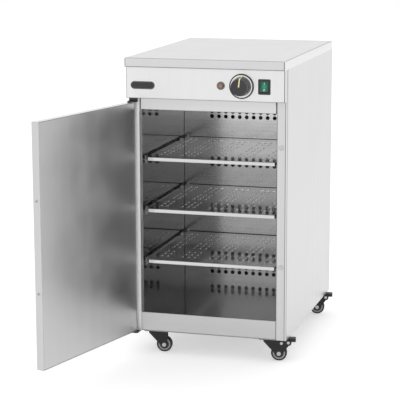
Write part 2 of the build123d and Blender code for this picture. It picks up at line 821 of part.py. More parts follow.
with BuildPart() as door_catches:
    with BuildSketch(front_face(front_y)):
        with Locations(*catch_places):
            Circle(catch_diameter / 2)
    extrude(amount=catch_face)
    fillet(door_catches.faces().group_by(Axis.Y)[0].edges(), catch_face / 2)
    with BuildSketch(front_face(front_y)):
        with Locations(*catch_places):
            Circle(catch_stud / 2)
    extrude(amount=-catch_stud_length)
door_catches.part.label = "door_catches"
export_step(door_catches.part, "parts/door_catches.step")

# -------------------------------------------------------------------------- controls
with BuildPart() as badge_plate:
    with BuildSketch(front_face(fascia_y)):
        with Locations((-half_width + badge_from_edge, fascia_bottom + badge_rise)):
            SlotOverall(badge_width, badge_height)
    extrude(amount=badge_thickness)
    fillet(badge_plate.faces().sort_by(Axis.Y)[0].edges(), badge_thickness / 2)
badge_plate.part.label = "badge_plate"
export_step(badge_plate.part, "parts/badge_plate.step")

with BuildPart() as lamp_bezel:
    with BuildSketch(front_face(fascia_y)):
        with Locations((lamp_x, control_z)):
            Circle(lamp_diameter / 2)
    extrude(amount=lamp_bezel_height)
    fillet(lamp_bezel.faces().sort_by(Axis.Y)[0].edges(), (lamp_diameter - lamp_socket_diameter) / 2)
    with BuildSketch(front_face(fascia_y)):
        with Locations((lamp_x, control_z)):
            Circle(lamp_socket_diameter / 2)
    extrude(amount=-lamp_body_length)
    with BuildSketch(front_face(fascia_y - lamp_bezel_height)):
        with Locations((lamp_x, control_z)):
            Circle(lamp_socket_diameter / 2 - panel_sheet)
    extrude(amount=-lamp_bezel_height - lamp_lens_height, mode=Mode.SUBTRACT)
lamp_bezel.part.label = "lamp_bezel"
export_step(lamp_bezel.part, "parts/lamp_bezel.step")

with BuildPart() as lamp_lens:
    with BuildSketch(front_face(fascia_y + lamp_lens_height)):
        with Locations((lamp_x, control_z)):
            Circle(lamp_socket_diameter / 2 - panel_sheet)
    extrude(amount=2 * lamp_lens_height + lamp_bezel_height)
    fillet(lamp_lens.faces().sort_by(Axis.Y)[0].edges(), lamp_lens_height)
lamp_lens.part.label = "lamp_lens"
export_step(lamp_lens.part, "parts/lamp_lens.step")

with BuildPart() as dial_bezel:
    with BuildSketch(front_face(fascia_y)):
        with Locations((knob_x, control_z)):
            Circle(dial_bezel_diameter / 2)
            Circle(dial_bezel_bore / 2, mode=Mode.SUBTRACT)
    extrude(amount=dial_bezel_thickness)
    rim = dial_bezel.edges().filter_by(GeomType.CIRCLE).group_by(Axis.Y)[0].sort_by(SortBy.RADIUS)[-1]
    fillet(rim, dial_bezel_thickness / 3)
dial_bezel.part.label = "dial_bezel"
export_step(dial_bezel.part, "parts/dial_bezel.step")

with BuildPart() as thermostat:
    with BuildSketch(front_face(fascia_y + panel_sheet)):
        with Locations((knob_x, control_z)):
            Circle(thermostat_diameter / 2)
    extrude(amount=-thermostat_depth)
    with BuildSketch(front_face(fascia_y + panel_sheet)):
        with Locations((knob_x, control_z)):
            Circle(dial_bezel_bore / 2 - fit_gap)
    extrude(amount=panel_sheet)
    with BuildSketch(front_face(fascia_y)):
        with Locations((knob_x, control_z)):
            Circle(spindle_diameter / 2 + spindle_running_gap)
    extrude(amount=-spindle_length, mode=Mode.SUBTRACT)
thermostat.part.label = "thermostat"
export_step(thermostat.part, "parts/thermostat.step")

knob_back_y = fascia_y - dial_bezel_thickness - knob_gap
knob_middle = Plane(origin=(knob_x, knob_back_y, control_z), x_dir=(1, 0, 0), z_dir=(0, -1, 0))
knob_radius = knob_diameter / 2
knob_face_radius = knob_face_diameter / 2
knob_taper = degrees(atan2(knob_radius - knob_face_radius, knob_height))
knob_turn = radians(knob_rest_angle)
# The pointer's section: its plane's x runs from the spindle along the pointer, its y out of the fascia.
pointer_plane = Plane(
    origin=knob_middle.origin,
    x_dir=(sin(knob_turn), 0, cos(knob_turn)),
    z_dir=(cos(knob_turn), 0, -sin(knob_turn)),
)
skirt_radius = knob_radius - (knob_radius - knob_face_radius) * pointer_skirt / knob_height
with BuildPart() as dial_knob:
    with BuildSketch(knob_middle):
        Circle(knob_radius)
    extrude(amount=knob_height, taper=knob_taper)
    fillet(dial_knob.faces().sort_by(Axis.Y)[0].edges(), knob_edge_radius)
    with Locations(knob_middle):
        with PolarLocations(0, knob_flutes):
            with Locations(Location((knob_radius, 0, 0), (0, -knob_taper, 0))):
                Cylinder(
                    knob_flute_diameter / 2,
                    2 * knob_height,
                    mode=Mode.SUBTRACT,
                )
    with BuildSketch(pointer_plane):
        with BuildLine():
            Polyline(
                (0, knob_height - pointer_root),
                (0, knob_height + pointer_height),
                (knob_face_radius - pointer_height, knob_height + pointer_height),
                (knob_face_radius + pointer_height, knob_height - pointer_height),
                (skirt_radius + pointer_height, pointer_skirt),
                (skirt_radius - pointer_root, pointer_skirt),
                (knob_face_radius - pointer_root, knob_height - pointer_root),
                close=True,
            )
        make_face()
    extrude(amount=pointer_width / 2, both=True)
    with BuildSketch(knob_middle):
        Circle(spindle_diameter / 2)
    extrude(amount=-spindle_length)
dial_knob.part.label = "dial_knob"
export_step(dial_knob.part, "parts/dial_knob.step")

switch_body_width = switch_width - 2 * switch_lip_overlap
switch_body_height = switch_height - 2 * switch_lip_overlap
with BuildPart() as switch_frame:
    with BuildSketch(front_face(fascia_y)):
        with Locations((switch_x, control_z)):
            RectangleRounded(switch_width, switch_height, switch_corner_radius)
    extrude(amount=switch_lip)
    fillet(switch_frame.faces().sort_by(Axis.Y)[0].edges(), switch_lip / 2)
    with BuildSketch(front_face(fascia_y)):
        with Locations((switch_x, control_z)):
            Rectangle(switch_body_width, switch_body_height)
    extrude(amount=-switch_depth)
    with BuildSketch(front_face(fascia_y - switch_lip)):
        with Locations((switch_x, control_z)):
            Rectangle(rocker_width + 2 * rocker_gap, rocker_length + 2 * rocker_gap)
    extrude(amount=-switch_recess_depth, mode=Mode.SUBTRACT)
switch_frame.part.label = "switch_frame"
export_step(switch_frame.part, "parts/switch_frame.step")

# The rocker's section: its plane's x points out of the fascia, its y down; the upper end is in.
rocker_plane = Plane(
    origin=(switch_x, fascia_y - switch_lip + rocker_pivot_depth, control_z),
    x_dir=(0, -cos(radians(rocker_tilt)), sin(radians(rocker_tilt))),
    z_dir=(1, 0, 0),
)
with BuildPart() as switch_rocker:
    with BuildSketch(rocker_plane):
        with BuildLine():
            Polyline(
                (-rocker_back, rocker_length / 2 - rocker_taper),
                (rocker_face, rocker_length / 2 - rocker_gap),
                (rocker_face - rocker_face_dip, 0),
                (rocker_face, -rocker_length / 2 + rocker_gap),
                (-rocker_back, -rocker_length / 2 + rocker_taper),
                close=True,
            )
        make_face()
    extrude(amount=rocker_width / 2, both=True)
switch_rocker.part.label = "switch_rocker"
export_step(switch_rocker.part, "parts/switch_rocker.step")

# ------------------------------------------------------------------ heating and supply
element_y = (chamber_back_y + rear_y) / 2
element_top = element_height + element_row_gap
with BuildPart() as heating_element:
    with BuildLine(front_face(element_y)) as element_path:
        FilletPolyline(
            (-element_span / 2, element_top),
            (element_span / 2 + element_bend, element_top),
            (element_span / 2 + element_bend, element_height),
            (-element_span / 2, element_height),
            radius=element_bend,
        )
    with BuildSketch(Plane(origin=element_path.line @ 0, z_dir=element_path.line % 0)):
        Circle(element_diameter / 2)
    sweep()
heating_element.part.label = "heating_element"
export_step(heating_element.part, "parts/heating_element.step")

with BuildPart() as element_brackets:
    for side in (-1, 1):
        with BuildSketch(Plane.YZ.offset(side * element_bracket_centres / 2)):
            with Locations((element_y, base_sheet)):
                Rectangle(
                    element_bracket_width,
                    element_top + element_diameter - base_sheet,
                    align=(Align.CENTER, Align.MIN),
                )
            with Locations((element_y, element_height), (element_y, element_top)):
                Circle(element_diameter / 2 + fit_gap, mode=Mode.SUBTRACT)
        extrude(amount=element_bracket_sheet)
        with BuildSketch(Plane.YZ.offset(side * element_bracket_centres / 2)):
            with Locations((element_y, base_sheet)):
                Rectangle(
                    element_bracket_width,
                    element_bracket_sheet,
                    align=(Align.CENTER, Align.MIN),
                )
        extrude(amount=element_bracket_foot)
element_brackets.part.label = "element_brackets"
export_step(element_brackets.part, "parts/element_brackets.step")

# The capillary runs from the thermostat over the ceiling and down to the bulb behind the liner.
thermostat_back_y = fascia_y + panel_sheet + thermostat_depth
capillary_z = control_z + capillary_rise
bulb_y = chamber_back_y + bulb_wall_gap + bulb_diameter / 2
bulb_top = capillary_z - bulb_drop
with BuildPart() as thermostat_bulb:
    with BuildLine(Plane.YZ.offset(knob_x)) as capillary_path:
        FilletPolyline(
            (thermostat_back_y, capillary_z),
            (bulb_y, capillary_z),
            (bulb_y, bulb_top),
            radius=capillary_bend,
        )
    with BuildSketch(Plane(origin=capillary_path.line @ 0, z_dir=capillary_path.line % 0)):
        Circle(capillary_diameter / 2)
    sweep()
    with BuildSketch(Plane.XY.offset(bulb_top)):
        with Locations((knob_x, bulb_y)):
            Circle(bulb_diameter / 2)
    extrude(amount=-bulb_length)
    for end in (bulb_saddle, bulb_length - bulb_saddle):
        with BuildSketch(Plane.XY.offset(bulb_top - end - bulb_saddle / 2)):
            with Locations((knob_x, chamber_back_y)):
                Rectangle(bulb_diameter, bulb_wall_gap + bulb_diameter / 2, align=(Align.CENTER, Align.MIN))
        extrude(amount=bulb_saddle)
thermostat_bulb.part.label = "thermostat_bulb"
export_step(thermostat_bulb.part, "parts/thermostat_bulb.step")

gland_outer_y = rear_y + panel_sheet
gland_place = (half_width - gland_from_edge, gland_height)
with BuildPart() as cable_gland:
    with BuildSketch(back_face(gland_outer_y)):
        with Locations(gland_place):
            RegularPolygon(gland_hex / 2, 6, major_radius=False)
    extrude(amount=gland_hex_thickness)
    with BuildSketch(back_face(gland_outer_y + gland_hex_thickness)):
        with Locations(gland_place):
            Circle(gland_dome_diameter / 2)
    extrude(amount=gland_dome_length)
    fillet(cable_gland.faces().sort_by(Axis.Y)[-1].edges(), gland_dome_length / 3)
    with BuildSketch(back_face(gland_outer_y)):
        with Locations(gland_place):
            Circle(gland_thread_diameter / 2)
    extrude(amount=-gland_inner_length)
    with BuildSketch(back_face(rear_y)):
        with Locations(gland_place):
            RegularPolygon(gland_hex / 2, 6, major_radius=False)
    extrude(amount=-gland_hex_thickness)
    with BuildSketch(back_face(gland_outer_y + gland_hex_thickness + gland_dome_length)):
        with Locations(gland_place):
            Circle(gland_bore / 2)
    extrude(
        amount=-(gland_hex_thickness + gland_dome_length + gland_inner_length),
        mode=Mode.SUBTRACT,
    )
cable_gland.part.label = "cable_gland"
export_step(cable_gland.part, "parts/cable_gland.step")

# Screws in the back panel, and rivets that hold the side liners to the stiles.
rivet_pitch = (chamber_top - rivet_margin_top - rivet_margin_bottom) / (rivet_count - 1)
rivet_heights = [rivet_margin_bottom + rivet_pitch * row for row in range(rivet_count)]
with BuildPart() as panel_fasteners:
    with BuildSketch(back_face(rear_y + panel_sheet)):
        with Locations(*[(side * screw_x, height) for side in (-1, 1) for height in screw_heights]):
            Circle(screw_head_diameter / 2)
    extrude(amount=screw_head_height)
    fillet(panel_fasteners.faces().group_by(Axis.Y)[-1].edges(), screw_head_height / 2)
    with BuildSketch(back_face(rear_y + panel_sheet)):
        with Locations(*[(side * screw_x, height) for side in (-1, 1) for height in screw_heights]):
            Circle(screw_shank / 2)
    extrude(amount=-screw_length)
    for side in (-1, 1):
        with BuildSketch(Plane.YZ.offset(side * stile_inner)):
            with Locations(*[(front_y + rivet_from_front, height) for height in rivet_heights]):
                Circle(rivet_diameter / 2)
        extrude(amount=-side * rivet_height)
panel_fasteners.part.label = "panel_fasteners"
export_step(panel_fasteners.part, "parts/panel_fasteners.step")

# ---------------------------------------------------------------------------- castors
wheel_radius = wheel_diameter / 2
collar_top = -disc_thickness - swivel_gap
fork_top = collar_top - collar_height
fork_under = fork_top - fork_sheet
axle_z = fork_under - fork_crown_gap - wheel_radius
fork_half = fork_inside / 2 + fork_sheet
brake_pivot_x = wheel_trail + brake_pivot_offset
brake_link_x = wheel_trail + brake_link_offset
brake_pivot_z = fork_top - brake_pivot_drop
brake_link_z = fork_top - brake_link_drop
rest_turn = radians(castor_rest_turn)
trail_way = (cos(rest_turn), sin(rest_turn), 0)
side_way = (sin(rest_turn), -cos(rest_turn), 0)
braked_fork_rear = brake_pivot_x + brake_boss

with BuildPart() as castor_stems:
    for x, y in castor_places.values():
        with BuildSketch(Plane.XY):
            with Locations((x, y)):
                Circle(disc_diameter / 2)
        extrude(amount=-disc_thickness)
        with BuildSketch(Plane.XY):
            with Locations((x, y)):
                Circle(stem_diameter / 2)
        extrude(amount=stem_length)
        with BuildSketch(Plane.XY.offset(base_sheet)):
            with Locations((x, y)):
                RegularPolygon(stem_nut / 2, 6, major_radius=False)
        extrude(amount=stem_nut_height)
        with BuildSketch(Plane.XY):
            with Locations((x, y)):
                Circle(kingpin_diameter / 2)
        extrude(amount=fork_under - swivel_gap)
        with BuildSketch(Plane.XY.offset(fork_under - swivel_gap)):
            with Locations((x, y)):
                Circle(kingpin_head_diameter / 2)
        extrude(amount=-kingpin_head_height)
castor_stems.part.label = "castor_stems"
export_step(castor_stems.part, "parts/castor_stems.step")

for corner, (x, y) in castor_places.items():
    braked = corner in braked_corners
    cheek_rear = braked_fork_rear if braked else fork_rear
    castor_side = Plane(origin=(x, y, 0), x_dir=trail_way, z_dir=side_way)
    castor_top = Plane(origin=(x, y, 0))

    with BuildPart() as castor_fork:
        with BuildSketch(castor_side):
            with Locations((-fork_front + fork_corner_radius, fork_top - fork_corner_radius)):
                Circle(fork_corner_radius)
            with Locations((cheek_rear - fork_corner_radius, fork_top - fork_corner_radius)):
                Circle(fork_corner_radius)
            with Locations((wheel_trail, axle_z)):
                Circle(fork_axle_boss)
            if braked:
                with Locations((brake_pivot_x, brake_pivot_z)):
                    Circle(brake_boss)
            make_hull()
        extrude(amount=fork_half, both=True)
        crown_face = castor_fork.faces().sort_by(Axis.Z)[-1]
        crown_edges = crown_face.edges().filter_by(Axis((x, y, 0), trail_way))
        fillet(crown_edges, fork_sheet)
        with BuildSketch(castor_side):
            with Locations((0, fork_under)):
                Rectangle(
                    2 * (braked_fork_rear + wheel_radius),
                    fork_crown_gap + wheel_diameter,
                    align=(Align.CENTER, Align.MAX),
                )
            if braked:
                with Locations((fork_rear, fork_top)):
                    Rectangle(brake_pivot_offset, fork_sheet, align=(Align.MIN, Align.MAX))
        extrude(amount=fork_inside / 2, both=True, mode=Mode.SUBTRACT)
        with BuildSketch(castor_top.offset(fork_under)):
            Circle(collar_diameter / 2)
        extrude(amount=fork_sheet + collar_height)
        with BuildSketch(castor_top.offset(collar_top)):
            Circle(kingpin_diameter / 2 + kingpin_running_gap)
        extrude(amount=-collar_height - fork_sheet, mode=Mode.SUBTRACT)
        with BuildSketch(castor_side):
            with Locations((wheel_trail, axle_z)):
                Circle(axle_diameter / 2)
            if braked:
                with Locations((brake_pivot_x, brake_pivot_z), (brake_link_x, brake_link_z)):
                    Circle(brake_rivet_diameter / 2)
        extrude(amount=fork_half, both=True, mode=Mode.SUBTRACT)
    castor_fork.part.label = f"castor_fork_{corner}"
    export_step(castor_fork.part, f"parts/castor_fork_{corner}.step")

    # The axle bolt and, on a braked castor, the two rivets of its brake.
    with BuildPart() as castor_bolts:
        with BuildSketch(castor_side):
            with Locations((wheel_trail, axle_z)):
                Circle(axle_diameter / 2)
        extrude(amount=fork_half + axle_head_height, both=True)
        for face, outward in ((castor_side.offset(fork_half), 1), (castor_side.offset(-fork_half), -1)):
            with BuildSketch(face):
                with Locations((wheel_trail, axle_z)):
                    RegularPolygon(axle_head_diameter / 2, 6, major_radius=False)
            extrude(amount=outward * axle_head_height)
        if braked:
            with BuildSketch(castor_side):
                with Locations((brake_pivot_x, brake_pivot_z), (brake_link_x, brake_link_z)):
                    Circle(brake_rivet_diameter / 2)
            extrude(amount=fork_half, both=True)
            for face, outward in ((castor_side.offset(fork_half), 1), (castor_side.offset(-fork_half), -1)):
                with BuildSketch(face):
                    with Locations((brake_pivot_x, brake_pivot_z), (brake_link_x, brake_link_z)):
                        Circle(brake_rivet_head / 2)
                extrude(amount=outward * brake_rivet_head_height)
    castor_bolts.part.label = f"castor_bolts_{corner}"
    export_step(castor_bolts.part, f"parts/castor_bolts_{corner}.step")

    core_radius = wheel_radius - tyre_depth
    with BuildPart() as wheel_core:
        with BuildSketch(castor_side):
            with Locations((wheel_trail, axle_z)):
                Circle(core_radius)
        extrude(amount=rim_width / 2, both=True)
        for face, outward in ((castor_side.offset(web_width / 2), 1), (castor_side.offset(-web_width / 2), -1)):
            with BuildSketch(face):
                with Locations((wheel_trail, axle_z)):
                    Circle(core_radius - rim_depth)
            extrude(amount=outward * rim_width, mode=Mode.SUBTRACT)
        with BuildSketch(castor_side):
            with Locations((wheel_trail, axle_z)):
                Circle(hub_diameter / 2)
        extrude(amount=fork_inside / 2 - hub_side_gap, both=True)
        with BuildSketch(castor_side):
            with Locations((wheel_trail, axle_z)):
                Circle(axle_diameter / 2 + axle_running_gap)
        extrude(amount=fork_inside / 2, both=True, mode=Mode.SUBTRACT)
    wheel_core.part.label = f"castor_wheel_{corner}"
    export_step(wheel_core.part, f"parts/castor_wheel_{corner}.step")

    with BuildPart() as castor_tyre:
        with BuildSketch(castor_side):
            with Locations((wheel_trail, axle_z)):
                Circle(wheel_radius)
        extrude(amount=tyre_width / 2, both=True)
        fillet(castor_tyre.edges().filter_by(GeomType.CIRCLE), tyre_shoulder)
        with BuildSketch(castor_side):
            with Locations((wheel_trail, axle_z)):
                Circle(core_radius)
        extrude(amount=tyre_width / 2, both=True, mode=Mode.SUBTRACT)
    castor_tyre.part.label = f"castor_tyre_{corner}"
    export_step(castor_tyre.part, f"parts/castor_tyre_{corner}.step")

    if not braked:
        continue

    # The shoe points past the tyre; the pedal's travel turns it towards the axle.
    to_axle = degrees(atan2(axle_z - brake_pivot_z, -brake_pivot_offset))
    shoe_angle = radians(to_axle + pedal_travel)
    shoe_reach = hypot(brake_pivot_offset, brake_pivot_z - axle_z) - wheel_radius - shoe_radius - shoe_gap
    shoe_place = (
        brake_pivot_x + shoe_reach * cos(shoe_angle),
        brake_pivot_z + shoe_reach * sin(shoe_angle),
    )
    pad_top = brake_pivot_z + pedal_rise - pedal_tip_radius
    pad_tip = brake_pivot_x + pedal_reach - pedal_tip_radius
    pad_start = brake_pivot_x + pedal_pad_start
    pad_heel = pad_start + pedal_heel
    pad_under = pad_top - pedal_pad_depth
    pad_corners = ((pad_start, pad_top), (pad_tip, pad_top), (pad_tip, pad_under), (pad_heel, pad_under))
    with BuildPart() as brake_pedal:
        with BuildSketch(castor_side):
            with Locations((brake_pivot_x, brake_pivot_z)):
                Circle(pedal_hub)
            with Locations((pad_start, pad_top)):
                Circle(pedal_tip_radius)
            make_hull()
        extrude(amount=fork_inside / 2 - pedal_side_gap, both=True)
        with BuildSketch(castor_side):
            with Locations((brake_pivot_x, brake_pivot_z)):
                Circle(pedal_hub)
            with Locations(shoe_place):
                Circle(shoe_radius)
            make_hull()
        extrude(amount=shoe_width / 2, both=True)
        with BuildSketch(castor_side):
            with Locations(*pad_corners):
                Circle(pedal_tip_radius)
            make_hull()
        extrude(amount=fork_inside / 2 - pedal_side_gap, both=True)
        with BuildSketch(castor_side):
            with Locations((brake_pivot_x, brake_pivot_z)):
                Circle(brake_rivet_diameter / 2 + axle_running_gap)
        extrude(amount=fork_half, both=True, mode=Mode.SUBTRACT)
    brake_pedal.part.label = f"brake_pedal_{corner}"
    export_step(brake_pedal.part, f"parts/brake_pedal_{corner}.step")
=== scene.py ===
import math

import bmesh
import bpy
from mathutils import Matrix, Vector


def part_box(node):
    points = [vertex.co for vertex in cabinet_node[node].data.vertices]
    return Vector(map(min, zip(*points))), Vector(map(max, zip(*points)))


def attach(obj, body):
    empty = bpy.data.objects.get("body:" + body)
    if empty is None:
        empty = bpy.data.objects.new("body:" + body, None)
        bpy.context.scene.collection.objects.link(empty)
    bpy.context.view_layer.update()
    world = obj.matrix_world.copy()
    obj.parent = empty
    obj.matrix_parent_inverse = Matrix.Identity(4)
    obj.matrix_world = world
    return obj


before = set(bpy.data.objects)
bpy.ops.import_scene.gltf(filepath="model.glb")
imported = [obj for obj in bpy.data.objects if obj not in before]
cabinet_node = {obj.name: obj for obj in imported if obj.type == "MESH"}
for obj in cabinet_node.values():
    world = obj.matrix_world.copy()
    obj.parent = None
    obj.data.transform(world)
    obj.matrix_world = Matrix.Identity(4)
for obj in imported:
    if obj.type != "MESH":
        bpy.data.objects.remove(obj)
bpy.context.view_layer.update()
MM = 0.001

# ------------------------------------------------------------------ places on the cabinet, in metres
FLOOR_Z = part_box("castor_tyre_front_left")[0].z
HINGE = Vector((-0.2185, -0.3135, 0.0))
DOOR_OPEN = math.radians(104.5)
# The door's own frame: X across the door from the hinge pins, Y towards its inner face, Z up.
DOOR = Matrix.Translation(HINGE) @ Matrix.Rotation(-DOOR_OPEN, 4, "Z")
HANDLE_X, DOOR_OUTER_Y = 0.381, -0.011  # in the door's frame
HANDLE_FEET_Z = (0.350, 0.510)

KNOB_DEPTH = 0.030  # from the pointer's front to the knob's back
POINTER_REST = math.radians(-7)
ROCKER_PIVOT_Y, ROCKER_PIVOT_Z = -0.327, 0.7095
ROCKER_REST = math.radians(-7)

LID_APRON = 0.025  # how far the lid's folded edges hang down
LINER_CORNER_X, LINER_BACK_Y, LINER_MIDDLE_Z = 0.1951, 0.134, 0.3545
HEADER_MIDDLE_Z = 0.6508
STILE_EDGE_X, STILE_MIDDLE_Z = 0.1959, 0.3435  # the edge towards the doorway
GLAND_X, GLAND_Z = -0.150, 0.060

CORNERS = ("front_left", "front_right", "rear_left", "rear_right")
BRAKED = ("front_right", "rear_right")
CASTOR_PIVOTS = dict(zip(CORNERS, ((-0.168, -0.265), (0.168, -0.265), (-0.168, 0.258), (0.168, 0.258))))
CASTOR_TURN = math.radians(10)
RACEWAY_Z = -0.0050
# Along the trail from the swivel axis, and heights.
WHEEL_TRAIL, AXLE_Z = 0.0285, -0.0455
BRAKE_PIVOT, BRAKE_PIVOT_Z, PEDAL_TOP_Z = 0.055, -0.0142, -0.0022


# ---------------------------------------------------------------------------- shader node helpers
def place_on_piece(tree):
    return tree.nodes.new("ShaderNodeTexCoord").outputs["Object"]


def components(tree, vector):
    """A vector's X, Y and Z."""
    parts = tree.nodes.new("ShaderNodeSeparateXYZ")
    tree.links.new(vector, parts.inputs["Vector"])
    return parts.outputs


def noise_on(tree, where, scale, detail=3.0, roughness=0.6):
    """Noise from 0 to 1; scale is a socket or a number."""
    noise = tree.nodes.new("ShaderNodeTexNoise")
    noise.inputs["Detail"].default_value = detail
    noise.inputs["Roughness"].default_value = roughness
    tree.links.new(where, noise.inputs["Vector"])
    if isinstance(scale, bpy.types.NodeSocket):
        tree.links.new(scale, noise.inputs["Scale"])
    else:
        noise.inputs["Scale"].default_value = scale
    return noise.outputs["Fac"]


def spread(tree, value, low, high, to_low=0.0, to_high=1.0):
    """Maps low..high of a value to to_low..to_high, and holds it there."""
    remap = tree.nodes.new("ShaderNodeMapRange")
    remap.inputs["From Min"].default_value = low
    remap.inputs["From Max"].default_value = high
    remap.inputs["To Min"].default_value = to_low
    remap.inputs["To Max"].default_value = to_high
    tree.links.new(value, remap.inputs["Value"])
    return remap.outputs["Result"]


def calculate(tree, operation, a, b=0.0):
    """One Math node; a and b are sockets or numbers."""
    node = tree.nodes.new("ShaderNodeMath")
    node.operation = operation
    for socket, value in zip(node.inputs, (a, b)):
        if isinstance(value, bpy.types.NodeSocket):
            tree.links.new(value, socket)
        else:
            socket.default_value = value
    return node.outputs[0]


def seen_directly(tree):
    """1 for rays that the camera, a gloss or a glass sends straight to the studio, otherwise 0."""
    path = tree.nodes.new("ShaderNodeLightPath").outputs
    straight = calculate(tree, "MAXIMUM", path["Is Camera Ray"], path["Is Glossy Ray"])
    return calculate(tree, "MAXIMUM", straight, path["Is Transmission Ray"])


# ------------------------------------------------------------------------------ camera and studio
WHITE = (1, 1, 1, 1)


def look_from(place, yaw, pitch, roll, lens):
    """The camera at the photograph's place: yaw to the left of +Y, pitch down, roll to the right."""
    yaw, pitch, roll = (math.radians(a) for a in (yaw, pitch, roll))
    ahead = Vector((-math.sin(yaw) * math.cos(pitch), math.cos(yaw) * math.cos(pitch), -math.sin(pitch)))
    right = ahead.cross(Vector((0, 0, 1))).normalized()
    up = right.cross(ahead)
    turned_right = math.cos(roll) * right + math.sin(roll) * up
    turned_up = -math.sin(roll) * right + math.cos(roll) * up
    data = bpy.data.cameras.new("photo_camera")
    data.lens = lens
    data.sensor_width = 36
    camera = bpy.data.objects.new("photo_camera", data)
    turn = Matrix((turned_right, turned_up, -ahead)).transposed().to_4x4()
    camera.matrix_world = Matrix.Translation(Vector(place)) @ turn
    bpy.context.scene.collection.objects.link(camera)
    bpy.context.scene.camera = camera


def softbox(name, place, aim, power, size=3.2):
    """A large square lamp that looks at a point on the cabinet."""
    data = bpy.data.lights.new(name, "AREA")
    data.shape = "SQUARE"
    data.size = size
    data.energy = power
    lamp = bpy.data.objects.new(name, data)
    lamp.location = place
    lamp.rotation_euler = (Vector(aim) - Vector(place)).to_track_quat("-Z", "Y").to_euler()
    bpy.context.scene.collection.objects.link(lamp)


def pale_studio(ambient):
    """White walls all round, which light the cabinet less brightly than they look."""
    world = bpy.data.worlds.new("pale_studio")
    world.use_nodes = True
    tree = world.node_tree
    walls = tree.nodes["Background"]
    walls.inputs["Color"].default_value = WHITE
    tree.links.new(spread(tree, seen_directly(tree), 0, 1, ambient, 1.0), walls.inputs["Strength"])
    bpy.context.scene.world = world


def studio_floor(glow, camera_gain, half_width=14.0):
    """White paper that keeps the cabinet's soft shadow. Rays that see it directly get a share of glow,
    which is camera_gain times brighter for the camera's own."""
    net = bmesh.new()
    bmesh.ops.create_grid(net, x_segments=4, y_segments=4, size=half_width)
    mesh = bpy.data.meshes.new("studio_floor")
    net.to_mesh(mesh)
    net.free()
    floor = bpy.data.objects.new("studio_floor", mesh)
    floor.location = (0, 0, FLOOR_Z)
    bpy.context.scene.collection.objects.link(floor)

    material = bpy.data.materials.new("studio_paper")
    material.use_nodes = True
    tree = material.node_tree
    paper = tree.nodes["Principled BSDF"]
    paper.inputs["Base Color"].default_value = (0.96, 0.96, 0.96, 1)
    paper.inputs["Roughness"].default_value = 0.9
    paper.inputs["Specular IOR Level"].default_value = 0.1
    light = tree.nodes.new("ShaderNodeEmission")
    light.inputs["Color"].default_value = WHITE
    from_camera = tree.nodes.new("ShaderNodeLightPath").outputs["Is Camera Ray"]
    tree.links.new(spread(tree, from_camera, 0, 1, 1.0, camera_gain), light.inputs["Strength"])
    mix = tree.nodes.new("ShaderNodeMixShader")
    tree.links.new(calculate(tree, "MULTIPLY", seen_directly(tree), glow), mix.inputs["Fac"])
    tree.links.new(paper.outputs["BSDF"], mix.inputs[1])
    tree.links.new(light.outputs["Emission"], mix.inputs[2])
    tree.links.new(mix.outputs["Shader"], tree.nodes["Material Output"].inputs["Surface"])
    mesh.materials.append(material)


look_from((1.1446, -4.3581, 1.2040), yaw=16.041, pitch=10.961, roll=-0.172, lens=139.76)
bpy.context.scene.view_settings.view_transform = "Standard"
pale_studio(ambient=0.90)
studio_floor(glow=0.22, camera_gain=1.95)
softbox("key_softbox", place=(-2.2, -3.4, 3.0), aim=(0, -0.2, 0.35), power=14)
softbox("fill_softbox", place=(3.2, -2.2, 2.0), aim=(0, 0, 0.35), power=8)
softbox("top_softbox", place=(0.2, 0.6, 3.4), aim=(0, 0, 0.4), power=4)


# ------------------------------------------------------------------------- shared surface effects
def effect_group(name, inputs, outputs):
    """An empty shader node group with named float inputs and outputs."""
    group = bpy.data.node_groups.new(name, "ShaderNodeTree")
    for label, value in inputs.items():
        socket = group.interface.new_socket(label, in_out="INPUT", socket_type="NodeSocketFloat")
        socket.default_value = value
    for label in outputs:
        group.interface.new_socket(label, in_out="OUTPUT", socket_type="NodeSocketFloat")
    return group, group.nodes.new("NodeGroupInput"), group.nodes.new("NodeGroupOutput")


def make_brushed_grain():
    """Streaks of a brushed sheet. The counts are streaks per metre along each axis of the cabinet."""
    tree, given, result = effect_group(
        "brushed_grain",
        {"Count X": 700.0, "Count Y": 700.0, "Count Z": 6.0},
        ("Fine Streaks", "Broad Streaks", "Height"),
    )
    counts = tree.nodes.new("ShaderNodeCombineXYZ")
    for axis in "XYZ":
        tree.links.new(given.outputs["Count " + axis], counts.inputs[axis])
    stretched = tree.nodes.new("ShaderNodeVectorMath")
    stretched.operation = "MULTIPLY"
    tree.links.new(place_on_piece(tree), stretched.inputs[0])
    tree.links.new(counts.outputs["Vector"], stretched.inputs[1])
    fine = noise_on(tree, stretched.outputs["Vector"], 1.0, detail=4.0, roughness=0.7)
    broad = noise_on(tree, stretched.outputs["Vector"], 0.045, detail=3.0, roughness=0.55)
    tree.links.new(spread(tree, fine, 0.3, 0.7), result.inputs["Fine Streaks"])
    tree.links.new(spread(tree, broad, 0.3, 0.7), result.inputs["Broad Streaks"])
    height = calculate(tree, "ADD", fine, calculate(tree, "MULTIPLY", broad, 0.6))
    tree.links.new(height, result.inputs["Height"])
    return tree


def make_handling_marks():
    """Soft clouds and finer smears that wiping leaves on metal and plastic."""
    tree, given, result = effect_group("handling_marks", {"Cloud Count": 7.0}, ("Clouds", "Smears"))
    where = place_on_piece(tree)
    clouds = noise_on(tree, where, given.outputs["Cloud Count"], detail=2.0)
    finer = calculate(tree, "MULTIPLY", given.outputs["Cloud Count"], 6.0)
    smears = noise_on(tree, where, finer, detail=5.0, roughness=0.7)
    tree.links.new(spread(tree, clouds, 0.35, 0.65), result.inputs["Clouds"])
    tree.links.new(spread(tree, smears, 0.35, 0.75), result.inputs["Smears"])
    return tree


